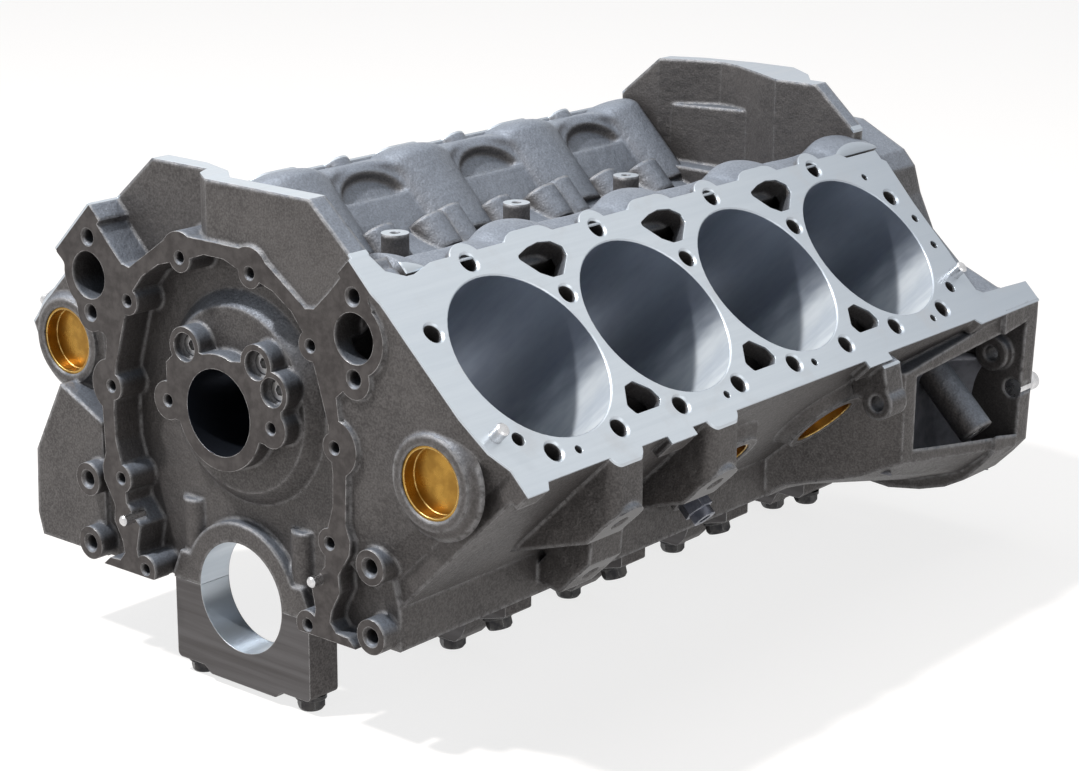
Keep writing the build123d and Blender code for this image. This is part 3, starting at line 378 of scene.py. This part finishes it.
def bore_group():
    """Mask of round walls that face their axes and repeat along Y, with the height and turn about them.

    The place is folded into one pitch along Y. The wall is where the distance from the axis, the
    root of the squares of the folded Y and the offset along Side, lies within Slack of Radius.
    The mask ends half a pitch beyond the first and the last bore of the bank.
    """
    tree, given, out = new_group("bore_wall", [
        ("Place", VECTOR), ("Facing", VECTOR), ("Axis", VECTOR), ("Side", VECTOR), ("First", FLOAT),
        ("Pitch", FLOAT), ("Radius", FLOAT), ("Slack", FLOAT)],
        [("Mask", FLOAT), ("Height", FLOAT), ("Turn", FLOAT), ("Aside", FLOAT)])
    steps = tree.math("DIVIDE", tree.math("SUBTRACT", tree.dot(given["Place"], Y_AXIS), given["First"]), given["Pitch"])
    folded = tree.math("SUBTRACT", tree.math("FRACT", tree.math("ADD", steps, 0.5)), 0.5)
    along = tree.product(folded, given["Pitch"])
    aside = tree.dot(given["Place"], given["Side"])
    squares = tree.math("ADD", tree.product(along, along), tree.product(aside, aside))
    near = tree.math("LESS_THAN", tree.apart(tree.math("SQRT", squares), given["Radius"]), given["Slack"])
    across = tree.math("ADD", tree.product(tree.dot(given["Facing"], Y_AXIS), along),
                       tree.product(tree.dot(given["Facing"], given["Side"]), aside))
    inward = tree.math("LESS_THAN", across, tree.product(given["Radius"], INWARD_FACING))
    within = tree.math("LESS_THAN", tree.apart(steps, (BORE_COUNT - 1) / 2), BORE_COUNT / 2)
    tree.put(out["Mask"], tree.product(near, inward, within))
    tree.put(out["Aside"], aside)
    tree.put(out["Height"], tree.dot(given["Place"], given["Axis"]))
    tree.put(out["Turn"], tree.product(tree.math("ARCTAN2", aside, along), given["Radius"]))


def grain_group():
    """Skin of a sand casting: fine grain on small lumps on slow waves, as a height and two tones."""
    tree, given, out = new_group("sand_grain", [("Place", VECTOR), ("Size", FLOAT)], [
        ("Height", FLOAT), ("Tone", FLOAT), ("Cloud", FLOAT)])
    fine = tree.noise(given["Place"], given["Size"], 3.0, 0.6)
    lumps = tree.noise(given["Place"], tree.product(given["Size"], 3.6), 2.0, 0.5)
    waves = tree.noise(given["Place"], tree.product(given["Size"], 16.0), 2.0, 0.5)
    height = tree.math("ADD", tree.product(fine, 0.36), tree.product(lumps, 0.55))
    tree.put(out["Height"], tree.math("ADD", height, tree.product(waves, 1.5)))
    speckle = tree.math("ADD", tree.product(fine, 0.8), tree.product(lumps, 0.2))
    tree.put(out["Tone"], tree.ramp(speckle, 0.34, 0.68))
    tree.put(out["Cloud"], tree.ramp(tree.noise(given["Place"], 0.055, 3.0, 0.6), 0.32, 0.70))


def edge_wear_and_highlight_group():
    """Worn edges with painted edge highlights: how far the rounded normal leaves the true one, broken up by noise."""
    tree, given, out = new_group("edge_wear_and_highlight", [("Place", VECTOR), ("Radius", FLOAT), ("Amount", FLOAT)], [
        ("Mask", FLOAT), ("Normal", VECTOR)])
    bevel = tree.add("ShaderNodeBevel", {"samples": 6}, Radius=given["Radius"])
    agree = tree.dot(bevel.outputs[0], tree.add("ShaderNodeNewGeometry").outputs["Normal"])
    turn = tree.ramp(tree.math("SUBTRACT", 1.0, agree), 0.004, 0.11)
    rough = tree.ramp(tree.noise(given["Place"], 0.005, 3.0, 0.6), 0.28, 0.60)
    tree.put(out["Mask"], tree.product(turn, rough, given["Amount"]))
    tree.put(out["Normal"], bevel.outputs[0])


def marks_group():
    """Fine cutter marks: noise that is drawn out in the direction Along."""
    tree, given, out = new_group("cutter_marks", [("Place", VECTOR), ("Along", VECTOR)], [
        ("Height", FLOAT), ("Tone", FLOAT)])
    along = tree.product(tree.dot(given["Place"], given["Along"]), 0.965)
    shift = tree.add("ShaderNodeVectorMath", {"operation": "SCALE"}, Vector=given["Along"], Scale=along)
    drawn = tree.vector("SUBTRACT", given["Place"], shift.outputs["Vector"])
    tree.put(out["Height"], tree.noise(drawn, 0.0007, 3.0, 0.65))
    tree.put(out["Tone"], tree.ramp(tree.noise(drawn, 0.006, 4.0, 0.6), 0.30, 0.70))


def hone_group():
    """Honing: two sets of fine scratches crossing at a flat angle on an unrolled bore."""
    tree, given, out = new_group("hone_cross", [("Turn", FLOAT), ("Height", FLOAT)], [
        ("Scratch", FLOAT), ("Band", FLOAT)])
    tilt = radians(24.0)
    sets = []
    for side in (-1.0, 1.0):
        across = tree.math("ADD", tree.product(given["Turn"], side * sin(tilt)),
                           tree.product(given["Height"], cos(tilt)))
        along = tree.math("SUBTRACT", tree.product(given["Turn"], cos(tilt)),
                          tree.product(given["Height"], side * sin(tilt)))
        place = tree.add("ShaderNodeCombineXYZ", X=across, Y=tree.product(along, 0.03), Z=side)
        sets.append(tree.noise(place.outputs[0], 0.0006, 3.0, 0.7))
    tree.put(out["Scratch"], tree.math("MAXIMUM", sets[0], sets[1]))
    flat = tree.add("ShaderNodeCombineXYZ", X=tree.product(given["Turn"], 0.5),
                    Y=tree.product(given["Height"], 0.12), Z=0.0)
    tree.put(out["Band"], tree.ramp(tree.noise(flat.outputs[0], 0.008, 3.0, 0.6), 0.25, 0.75))


GROUPS = (face_group, turned_group, bore_group, grain_group, edge_wear_and_highlight_group, marks_group, hone_group)


def placed(tree, name, **inputs):
    """Places one of the shared groups in a material."""
    return tree.add("ShaderNodeGroup", {"node_tree": bpy.data.node_groups[name]}, **inputs).outputs


def new_material(name):
    """Material with one Principled shader; returns it, its Tree, the shader and the place on the object."""
    material = bpy.data.materials.new(name)
    material.use_nodes = True
    tree = Tree(material.node_tree)
    shader = material.node_tree.nodes["Principled BSDF"]
    place = tree.add("ShaderNodeTexCoord").outputs["Object"]
    return material, tree, shader, place


def facing(tree):
    """The unrounded surface direction."""
    return tree.add("ShaderNodeNewGeometry").outputs["True Normal"]


def turned_bore(tree, place, normal, height, radius):
    """Mask of a turned bore along Y, whose axis lies at a height."""
    return placed(tree, "turned_bore", Place=place, Facing=normal, Axis_Height=height, Radius=radius)["Mask"]


def either(tree, masks):
    """Largest of several masks."""
    result = masks[0]
    for mask in masks[1:]:
        result = tree.math("MAXIMUM", result, mask)
    return result


def sideways(direction):
    """Direction square to a bank's bores and to the crankshaft, away from the valley."""
    return direction.x, 0.0, -direction.z


def block_masks(tree, place, normal):
    """Masks of the casting's bright faces, old faces, cam tunnel and cylinders, and each bank's bores.

    Bright faces are the decks with their rims, the valley's rails and retainer pads, the pan rail,
    the rear flange and the main tunnel. Old faces are the front flange and the engine mount pads.
    """
    def plane(direction, distance):
        return placed(tree, "machined_face", Place=place, Facing=normal, Direction=direction, Distance=distance,
                      Depth=PLANE_DEPTH)

    def away(direction):
        return tree.math("ABSOLUTE", tree.dot(place, direction))

    bright, pads, cylinders, bores = [], [], [], []
    for direction, first in ((LEFT_NORMAL, LEFT_FIRST_Y), (RIGHT_NORMAL, RIGHT_FIRST_Y)):
        side = sideways(direction)
        deck = plane(direction, DECK_HEIGHT)
        on_deck = tree.math("LESS_THAN", away(side), DECK_HALF_WIDTH)
        bright += [deck["Mask"], tree.product(deck["Rim"], on_deck, 0.9)]
        pads.append(plane(side, ENGINE_MOUNT_REACH)["Mask"])
        bore = placed(tree, "bore_wall", Place=place, Facing=normal, Axis=direction, Side=side, First=first,
                      Pitch=BORE_PITCH, Radius=BORE_RADIUS, Slack=BORE_SLACK)
        cylinders.append(tree.product(bore["Mask"], tree.math("GREATER_THAN", bore["Height"], BORE_LOW)))
        bores.append(bore)
    for direction, distance in ((Z_AXIS, VALLEY_WALL_TOP), (Z_AXIS, RETAINER_Z), (DOWN, 0.0), (Y_AXIS, REAR_Y)):
        bright.append(plane(direction, distance)["Mask"])
    bright.append(turned_bore(tree, place, normal, 0.0, MAIN_RADIUS))
    outboard = tree.math("GREATER_THAN", away(X_AXIS), ENGINE_MOUNT_X - PAD_HALF_WIDTH)
    mounts = tree.product(either(tree, pads), outboard)
    old_faces = either(tree, [plane(FORWARD, -FRONT_Y)["Mask"], mounts])
    cam_bore = turned_bore(tree, place, normal, CAM_PLACE.z, CAM_RADIUS)
    return either(tree, bright), old_faces, cam_bore, either(tree, cylinders), bores


def cast_colour(tree, finish, grain, wear_and_highlight):
    """Cast skin: two tones of grain, slow clouds, painted sky light on faces that look up, rubbed edges with painted
    highlights, and painted shade in corners.
    """
    # painted shade: darker where ambient occlusion finds the skin shut in
    hollow = tree.add("ShaderNodeAmbientOcclusion", {"samples": 4}, Distance=0.035)
    painted_shade_share = tree.math("SUBTRACT", 1.0, tree.ramp(hollow.outputs["AO"], 0.15, 0.95))
    # painted light: faces that look up turn paler and bluer, as sky light would make them
    sky_lit_share = tree.ramp(tree.dot(wear_and_highlight["Normal"], Z_AXIS), 0.15, 0.85)
    cast = tree.tint(grain["Tone"], finish.cast_dark, finish.cast_light)
    cast = tree.tint(tree.product(grain["Cloud"], 0.30), cast, finish.cast_cloud)
    cast = tree.tint(tree.product(sky_lit_share, tree.mix(grain["Tone"], 0.55, 0.80)), cast, finish.painted_sky_light)
    # rubbed edges with painted edge highlights
    cast = tree.tint(wear_and_highlight["Mask"], cast, finish.cast_edge_wear_and_highlight)
    return tree.tint(tree.product(painted_shade_share, 0.60), cast, finish.cast_painted_corner_shade)


def machined_colour(tree, finish, place, marks):
    """Bright machined faces: cutter streaks, a painted reflection that dims towards the rear, and handling stains."""
    # painted reflection: duller towards the rear
    rearward = tree.ramp(tree.dot(place, Y_AXIS), -0.10, REAR_Y + 0.05)
    stains = tree.product(tree.ramp(tree.noise(place, 0.030, 4.0, 0.6), 0.52, 0.74), 0.35)
    metal = tree.tint(marks["Tone"], finish.machined, finish.machined_streak)
    metal = tree.tint(rearward, metal, finish.machined_painted_reflection_rear)
    return tree.tint(stains, metal, finish.machined_stain)


def honed_colour(tree, finish, bores):
    """Cylinder walls; returns their colour, the honing, and the share of the side away from the valley. The side next
    to the valley is painted shade, the side away from it painted as lit.
    """
    left, right = bores
    bank = tree.math("GREATER_THAN", right["Height"], left["Height"])
    turn, height, aside = (tree.mix(bank, left[key], right[key]) for key in ("Turn", "Height", "Aside"))
    hone = placed(tree, "hone_cross", Turn=turn, Height=height)
    # painted light and shade: the side away from the valley lighter, the side next to it darker
    painted_lit_side = tree.ramp(tree.math("ADD", aside, tree.product(hone["Band"], 0.008)), -0.002, 0.030)
    outside = tree.tint(hone["Band"], finish.honed, finish.honed_band)
    inside_painted_tone = tree.tint(hone["Band"], finish.honed_painted_shade, finish.honed_painted_shade_band)
    return tree.tint(painted_lit_side, inside_painted_tone, outside), hone, painted_lit_side


def block_material(finish):
    """The casting: cast skin, machined planes, older front flange, honed and turned bores."""
    material, tree, shader, place = new_material("block_iron")
    bright, old_faces, cam_bore, honed, bores = block_masks(tree, place, facing(tree))
    smooth = either(tree, [bright, old_faces, cam_bore, honed])
    grain = placed(tree, "sand_grain", Place=place, Size=finish.grain)
    marks = placed(tree, "cutter_marks", Place=place, Along=Y_AXIS)
    rounding = tree.mix(smooth, finish.cast_round, finish.milled_round)
    wear_and_highlight = placed(tree, "edge_wear_and_highlight", Place=place, Radius=rounding, Amount=0.75)
    wall, hone, painted_lit_side = honed_colour(tree, finish, bores)

    flange = tree.tint(marks["Tone"], finish.flange, finish.flange_streak)
    # rubbed flange edges with painted edge highlights
    flange = tree.tint(wear_and_highlight["Mask"], flange, finish.flange_edge_wear_and_highlight)
    colour = tree.tint(old_faces, cast_colour(tree, finish, grain, wear_and_highlight), flange)
    # painted shade on the cam tunnel's wall
    colour = tree.tint(cam_bore, colour, finish.cam_tunnel_painted_shade)
    colour = tree.tint(bright, colour, machined_colour(tree, finish, place, marks))
    tree.put(shader.inputs["Base Color"], tree.tint(honed, colour, wall))

    rough = tree.mix(grain["Tone"], 0.58, 0.44)
    rough = tree.mix(either(tree, [old_faces, cam_bore]), rough, 0.38)
    rough = tree.mix(bright, rough, tree.mix(marks["Tone"], 0.42, 0.32))
    tree.put(shader.inputs["Roughness"], tree.mix(honed, rough, tree.mix(hone["Band"], 0.46, 0.34)))
    metallic = tree.mix(smooth, 0.40, 0.92)
    tree.put(shader.inputs["Metallic"], tree.mix(honed, metallic, tree.mix(painted_lit_side, 0.85, 0.35)))

    height = tree.mix(smooth, grain["Height"], tree.product(marks["Height"], 0.05))
    height = tree.mix(honed, height, tree.product(hone["Scratch"], 0.06))
    tree.relief(shader, wear_and_highlight["Normal"], height, distance=0.0011, strength=0.85)
    return material


def cap_material(finish):
    """Bearing caps: milled iron sides, a cast crown and a turned bore."""
    material, tree, shader, place = new_material("cap_iron")
    normal = facing(tree)
    milled = tree.math("GREATER_THAN", tree.math("ABSOLUTE", tree.dot(normal, Y_AXIS)), 0.9)
    turned = turned_bore(tree, place, normal, 0.0, MAIN_RADIUS)
    smooth = either(tree, [milled, turned])
    grain = placed(tree, "sand_grain", Place=place, Size=finish.grain)
    marks = placed(tree, "cutter_marks", Place=place, Along=X_AXIS)
    wear_and_highlight = placed(tree, "edge_wear_and_highlight", Place=place, Radius=0.0009, Amount=0.8)
    cast = tree.tint(grain["Tone"], finish.cast_dark, finish.cast_light)
    colour = tree.tint(milled, cast, tree.tint(marks["Tone"], finish.cap_side, finish.cap_streak))
    colour = tree.tint(turned, colour, finish.machined)
    # rubbed cap edges with painted edge highlights
    tree.put(shader.inputs["Base Color"], tree.tint(wear_and_highlight["Mask"], colour, finish.cap_edge_wear_and_highlight))
    tree.put(shader.inputs["Roughness"], tree.mix(smooth, 0.55, 0.34))
    shader.inputs["Metallic"].default_value = 0.8
    height = tree.mix(smooth, grain["Height"], tree.product(marks["Height"], 0.08))
    tree.relief(shader, wear_and_highlight["Normal"], height, distance=0.0009, strength=0.7)
    return material


def small_part_material(name, dull, shine, roughness, metallic, wear_and_highlight_colour, rounding, spot=0.005):
    """Turned or drawn small part: two tones in patches, fine marks and rubbed edges with painted edge highlights."""
    material, tree, shader, place = new_material(name)
    patch = tree.ramp(tree.noise(place, spot, 4.0, 0.6), 0.32, 0.68)
    fine = tree.noise(place, 0.0005, 3.0, 0.6)
    wear_and_highlight = placed(tree, "edge_wear_and_highlight", Place=place, Radius=rounding, Amount=0.9)
    colour = tree.tint(patch, dull, shine)
    colour = tree.tint(wear_and_highlight["Mask"], colour, wear_and_highlight_colour)
    tree.put(shader.inputs["Base Color"], colour)
    tree.put(shader.inputs["Roughness"], tree.mix(patch, roughness + 0.08, roughness - 0.06))
    shader.inputs["Metallic"].default_value = metallic
    tree.relief(shader, wear_and_highlight["Normal"], fine, distance=0.00012, strength=0.5)
    return material


def soft_step(value):
    """Smooth step of an array from 0 at 0 to 1 at 1."""
    clipped = np.clip(value, 0.0, 1.0)
    return clipped * clipped * (3.0 - 2.0 * clipped)


def valley_wall(name, sizes, normal, first, material):
    """One cast wall of the lifter valley, as a closed shell between its face and its back.

    Along Y the wall repeats with the bores. With e the distance from the nearest bore axis, d the
    distance from the nearest column axis and h the height along the bores, the face stands at
    face + column - hollow + arch - lean. The column is rise (1 - (d / half)^2)^0.7, the arch a
    bell curve across an ellipse about the arch centre, the hollow a soft half ellipse above that
    centre, and the lean grows with the square of h above the shoulder. Arch and hollow fade out
    where they meet a column.
    """
    along = np.linspace(sizes.start, sizes.end, WALL_POINTS[0])
    heights = np.linspace(sizes.foot, sizes.top, WALL_POINTS[1])
    y, h = np.meshgrid(along, heights, indexing="ij")
    e = (((y - first) / BORE_PITCH + 0.5) % 1.0 - 0.5) * BORE_PITCH
    d = BORE_PITCH / 2 - np.abs(e)
    column = sizes.column_rise * np.clip(1.0 - (d / sizes.column_half) ** 2, 0.0, 1.0) ** 0.7
    rho = np.hypot(e * sizes.hollow_squeeze, h - sizes.arch_height)
    clear = 1.0 - soft_step(column / sizes.column_rise * 1.6)
    above = soft_step((h - sizes.arch_height) / HOLLOW_EDGE) * clear
    arch = sizes.arch_rise * np.exp(-((rho - sizes.arch_radius) / ARCH_WIDTH) ** 2) * above
    hollow = sizes.hollow_depth * soft_step((sizes.hollow_radius - rho) / HOLLOW_EDGE) * above
    lean = sizes.lean * np.clip((h - sizes.top + sizes.shoulder) / sizes.shoulder, 0.0, 1.0) ** 2
    face = sizes.face + column + arch - hollow - lean
    count = len(along)
    ring_y = np.column_stack([y, along, along])
    ring_h = np.column_stack([h, np.full(count, sizes.top), np.full(count, sizes.foot)])
    ring_out = np.column_stack([face, np.full((count, 2), sizes.back)])
    points = (ring_h[..., None] * np.array(normal) - ring_out[..., None] * np.array(sideways(normal))
              + ring_y[..., None] * np.array(Y_AXIS))
    cast_piece(name, points, material)


def pocket_lining(name, sizes, hand, material):
    """Rounded inside of a skirt pocket, as a closed shell between its face and its back.

    With b running from -1 at the floor to 1 at the roof, the face stands at wall + rise |b|^3, and
    swells by a soft step where it nears the front and the rear end of the pocket. The floor falls
    evenly from the front to the rear, and hand, 1 or -1, puts the shape on either side of the block.
    """
    along = np.linspace(sizes.pocket_start, sizes.pocket_end, LINING_POINTS[0])
    share = (along - along[0]) / (along[-1] - along[0])
    low = sizes.pocket_floor_front + (sizes.pocket_floor_rear - sizes.pocket_floor_front) * share
    y, b = np.meshgrid(along, np.linspace(-1.0, 1.0, LINING_POINTS[1]), indexing="ij")
    z = low[:, None] + (sizes.pocket_roof - low[:, None]) * (b + 1.0) / 2
    front = 1.0 - soft_step((y - sizes.pocket_start) / LINING_FRONT_EDGE)
    rear = 1.0 - soft_step((sizes.pocket_end - y) / LINING_REAR_EDGE)
    face = sizes.pocket_wall + sizes.pocket_rise * np.abs(b) ** 3 + sizes.pocket_swell * (front + rear)
    count = len(along)
    ring_y = np.column_stack([y, along, along])
    ring_z = np.column_stack([z, np.full(count, sizes.pocket_roof), low])
    ring_x = np.column_stack([face, np.full((count, 2), sizes.pocket_back)])
    cast_piece(name, np.stack([hand * ring_x, ring_y, ring_z], axis=-1), material)


def cast_piece(name, points, material):
    """Closes a row of rings of points into a shell with end faces, and makes it a piece of the casting."""
    count, ring = points.shape[:2]
    index = np.arange(count * ring).reshape(count, ring)
    turn = np.roll(index, -1, axis=1)
    quads = np.stack([index[:-1], index[1:], turn[1:], turn[:-1]], axis=-1).reshape(-1, 4)
    mesh = bpy.data.meshes.new(name)
    mesh.from_pydata(points.reshape(-1, 3).tolist(), [],
                     quads.tolist() + [index[0].tolist(), index[-1][::-1].tolist()])
    form = bmesh.new()
    form.from_mesh(mesh)
    bmesh.ops.recalc_face_normals(form, faces=form.faces)
    form.to_mesh(mesh)
    form.free()
    mesh.shade_smooth()
    mesh.materials.append(material)
    piece = bpy.data.objects.new(name, mesh)
    bpy.context.scene.collection.objects.link(piece)
    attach(piece, "root")


def dress(nodes, material):
    """Gives CAD nodes their finish."""
    for name in nodes:
        slots = frame["nodes"][name].data.materials
        slots.clear()
        slots.append(material)


def nodes_like(*starts):
    """Names of the CAD nodes that start with one of the words given."""
    return [name for name in sorted(frame["nodes"]) if name.startswith(starts)]


class PieceOperator(bpy.types.Operator):
    """Shared settings of the operators that finish a group of pieces."""

    bl_options = {"REGISTER", "UNDO"}

    def finish(self, context):
        """The finish settings of the scene."""
        return context.scene.engine_block_finish


class ENGINEBLOCK_OT_groups(PieceOperator):
    """Build the shared shader groups"""

    bl_idname = "engineblock.groups"
    bl_label = "Shader groups"

    def execute(self, context):
        for build in GROUPS:
            build()
        return {"FINISHED"}


class ENGINEBLOCK_OT_casting(PieceOperator):
    """Finish the block casting"""

    bl_idname = "engineblock.casting"
    bl_label = "Block casting"

    def execute(self, context):
        dress(["block_casting"], block_material(self.finish(context)))
        return {"FINISHED"}


class ENGINEBLOCK_OT_valley(PieceOperator):
    """Build the cast walls of the lifter valley and the linings of the skirt pockets"""

    bl_idname = "engineblock.valley"
    bl_label = "Valley walls and pocket linings"

    def execute(self, context):
        sizes = context.scene.engine_block_valley
        material = bpy.data.materials["block_iron"]
        valley_wall("valley_wall_left", sizes, LEFT_NORMAL, LEFT_FIRST_Y, material)
        valley_wall("valley_wall_right", sizes, RIGHT_NORMAL, RIGHT_FIRST_Y, material)
        # painted light: the pocket linings get a paler, bluer iron than the cast skin, standing in for light the
        # pockets lack
        inside_painted_tone = small_part_material(
            "pocket_iron_painted_light", dull=(0.125, 0.128, 0.148), shine=(0.190, 0.195, 0.220), roughness=0.52, metallic=0.30,
            wear_and_highlight_colour=(0.30, 0.30, 0.32), rounding=0.0030, spot=0.010)
        pocket_lining("pocket_lining_left", sizes, 1.0, inside_painted_tone)
        pocket_lining("pocket_lining_right", sizes, -1.0, inside_painted_tone)
        return {"FINISHED"}


class ENGINEBLOCK_OT_caps(PieceOperator):
    """Finish the main bearing caps and their bolts"""

    bl_idname = "engineblock.caps"
    bl_label = "Bearing caps and bolts"

    def execute(self, context):
        finish = self.finish(context)
        dress(nodes_like("main_cap_"), cap_material(finish))
        oxide = small_part_material(
            "black_oxide", dull=finish.oxide, shine=(0.065, 0.063, 0.062), roughness=0.38, metallic=0.85,
            wear_and_highlight_colour=(0.20, 0.20, 0.20), rounding=0.0006)
        dress(nodes_like("cap_bolts_"), oxide)
        return {"FINISHED"}


class ENGINEBLOCK_OT_plugs(PieceOperator):
    """Finish the core plugs and the threaded plugs"""

    bl_idname = "engineblock.plugs"
    bl_label = "Plugs"

    def execute(self, context):
        finish = self.finish(context)
        brass = small_part_material(
            "plug_brass", dull=finish.brass, shine=(0.40, 0.225, 0.045), roughness=0.30, metallic=0.95,
            wear_and_highlight_colour=(0.85, 0.62, 0.24), rounding=0.0012, spot=0.012)
        dress(nodes_like("core_plug_"), brass)
        steel = small_part_material(
            "plug_steel", dull=finish.steel, shine=(0.34, 0.335, 0.33), roughness=0.36, metallic=1.0,
            wear_and_highlight_colour=(0.75, 0.75, 0.76), rounding=0.0005)
        dress(nodes_like("gallery_plug_", "oil_boss_", "cam_plug_"), steel)
        drain = small_part_material(
            "drain_steel", dull=(0.10, 0.11, 0.14), shine=(0.19, 0.20, 0.24), roughness=0.36, metallic=0.95,
            wear_and_highlight_colour=(0.42, 0.43, 0.46), rounding=0.0006)
        dress(nodes_like("drain_plug_"), drain)
        return {"FINISHED"}


class ENGINEBLOCK_OT_dowels(PieceOperator):
    """Finish the dowel pins"""

    bl_idname = "engineblock.dowels"
    bl_label = "Dowel pins"

    def execute(self, context):
        ground = small_part_material(
            "ground_steel", dull=self.finish(context).steel, shine=(0.66, 0.66, 0.67), roughness=0.26, metallic=1.0,
            wear_and_highlight_colour=(0.85, 0.85, 0.86), rounding=0.0005)
        dress(nodes_like("head_dowel_", "timing_dowel_", "housing_dowel_"), ground)
        return {"FINISHED"}


def stage_mesh(name, corners, faces):
    """Stage object from corner points."""
    mesh = bpy.data.meshes.new(name)
    mesh.from_pydata(corners, [], faces)
    thing = bpy.data.objects.new(name, mesh)
    bpy.context.scene.collection.objects.link(thing)
    thing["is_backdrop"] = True
    return thing


def white_to_eye(tree, own, shown):
    """Shows one shader to camera, glossy and transmission rays, and its own to all the others."""
    path = tree.add("ShaderNodeLightPath")
    seen = either(tree, [path.outputs[f"Is {kind} Ray"] for kind in ("Camera", "Glossy", "Transmission")])
    mixer = tree.add("ShaderNodeMixShader")
    for socket, value in zip(mixer.inputs, (seen, own, shown)):
        tree.put(socket, value)
    return mixer.outputs[0]


def lamp(name, place, target, watts, width, height):
    """Area lamp turned to a target, with its power in watts."""
    light = bpy.data.lights.new(name, "AREA")
    light.shape = "RECTANGLE"
    light.size = width
    light.size_y = height
    light.energy = watts
    thing = bpy.data.objects.new(name, light)
    turn = (Vector(target) - Vector(place)).to_track_quat("-Z", "Y")
    thing.matrix_world = Matrix.Translation(place) @ turn.to_matrix().to_4x4()
    bpy.context.scene.collection.objects.link(thing)


class ENGINEBLOCK_OT_stage(PieceOperator):
    """Set the floor, the lamps, the even light and the camera"""

    bl_idname = "engineblock.stage"
    bl_label = "Studio"

    def execute(self, context):
        studio = context.scene.engine_block_studio
        scene = context.scene
        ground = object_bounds()[0][2]
        reach = 6.0
        floor = stage_mesh("floor", [(-reach, -reach, ground), (reach, -reach, ground), (reach, reach, ground),
                                     (-reach, reach, ground)], [(0, 1, 2, 3)])
        material, tree, shader = new_material("floor_pale")[:3]
        tree.put(shader.inputs["Base Color"], studio.floor)
        shader.inputs["Roughness"].default_value = 0.9
        shader.inputs["Specular IOR Level"].default_value = 0.1
        glow = tree.add("ShaderNodeEmission", Color=(1.0, 1.0, 1.0), Strength=studio.floor_glow)
        lit = tree.add("ShaderNodeAddShader")
        tree.put(lit.inputs[0], shader.outputs[0])
        tree.put(lit.inputs[1], glow.outputs[0])
        leave = material.node_tree.nodes["Material Output"]
        tree.put(leave.inputs["Surface"], white_to_eye(tree, shader.outputs[0], lit.outputs[0]))
        floor.data.materials.append(material)

        world = bpy.data.worlds.new("even_light")
        scene.world = world
        world.use_nodes = True
        tree = Tree(world.node_tree)
        world.node_tree.nodes.clear()
        even = tree.add("ShaderNodeBackground", Color=studio.sky_tint, Strength=studio.sky)
        white = tree.add("ShaderNodeBackground", Color=(1.0, 1.0, 1.0), Strength=1.0)
        leave = tree.add("ShaderNodeOutputWorld")
        tree.put(leave.inputs["Surface"], white_to_eye(tree, even.outputs[0], white.outputs[0]))

        middle = Vector((0.0, 0.0, 0.12))
        key_distance = 3.2
        lamp("lamp_key", middle + key_distance * Vector(studio.key_way), middle, studio.key_watts, 0.18, 0.18)
        lamp("lamp_fill", (1.75, -0.55, 0.45), middle, studio.fill_watts, 1.2, 0.9)
        lamp("lamp_over", (-0.3, 0.0, 1.9), (0.0, 0.0, 0.15), studio.over_watts, 2.0, 2.0)

        camera = bpy.data.cameras.new("photo_camera")
        camera.sensor_width = 36.0
        camera.lens = studio.lens
        thing = bpy.data.objects.new("photo_camera", camera)
        turn = Matrix.Rotation(studio.azimuth, 4, "Z") @ Matrix.Rotation(pi / 2 - studio.elevation, 4, "X")
        thing.matrix_world = Matrix.Translation(studio.camera_place) @ turn @ Matrix.Rotation(studio.roll, 4, "Z")
        scene.collection.objects.link(thing)
        scene.camera = thing

        scene.view_settings.view_transform = "Standard"
        return {"FINISHED"}


OPERATORS = (ENGINEBLOCK_OT_groups, ENGINEBLOCK_OT_casting, ENGINEBLOCK_OT_valley, ENGINEBLOCK_OT_caps,
             ENGINEBLOCK_OT_plugs, ENGINEBLOCK_OT_dowels, ENGINEBLOCK_OT_stage)


class ENGINEBLOCK_PT_panel(bpy.types.Panel):
    """Lists the finishes of the engine block"""

    bl_idname = "ENGINEBLOCK_PT_panel"
    bl_label = "Engine block"
    bl_space_type = "VIEW_3D"
    bl_region_type = "UI"
    bl_category = "Engine block"

    def draw(self, context):
        for operator in OPERATORS:
            self.layout.operator(operator.bl_idname)


CLASSES = (FinishSettings, ValleySettings, StudioSettings) + OPERATORS + (ENGINEBLOCK_PT_panel,)


def register():
    """Registers the classes and their settings."""
    for cls in CLASSES:
        bpy.utils.register_class(cls)
    bpy.types.Scene.engine_block_finish = PointerProperty(type=FinishSettings)
    bpy.types.Scene.engine_block_valley = PointerProperty(type=ValleySettings)
    bpy.types.Scene.engine_block_studio = PointerProperty(type=StudioSettings)


def unregister():
    """Removes the classes and their settings."""
    del bpy.types.Scene.engine_block_studio
    del bpy.types.Scene.engine_block_valley
    del bpy.types.Scene.engine_block_finish
    for cls in reversed(CLASSES):
        bpy.utils.unregister_class(cls)


def main():
    """Runs every operator in order."""
    register()
    bpy.ops.engineblock.groups()
    bpy.ops.engineblock.casting()
    bpy.ops.engineblock.valley()
    bpy.ops.engineblock.caps()
    bpy.ops.engineblock.plugs()
    bpy.ops.engineblock.dowels()
    bpy.ops.engineblock.stage()


if __name__ == "__main__":
    main()
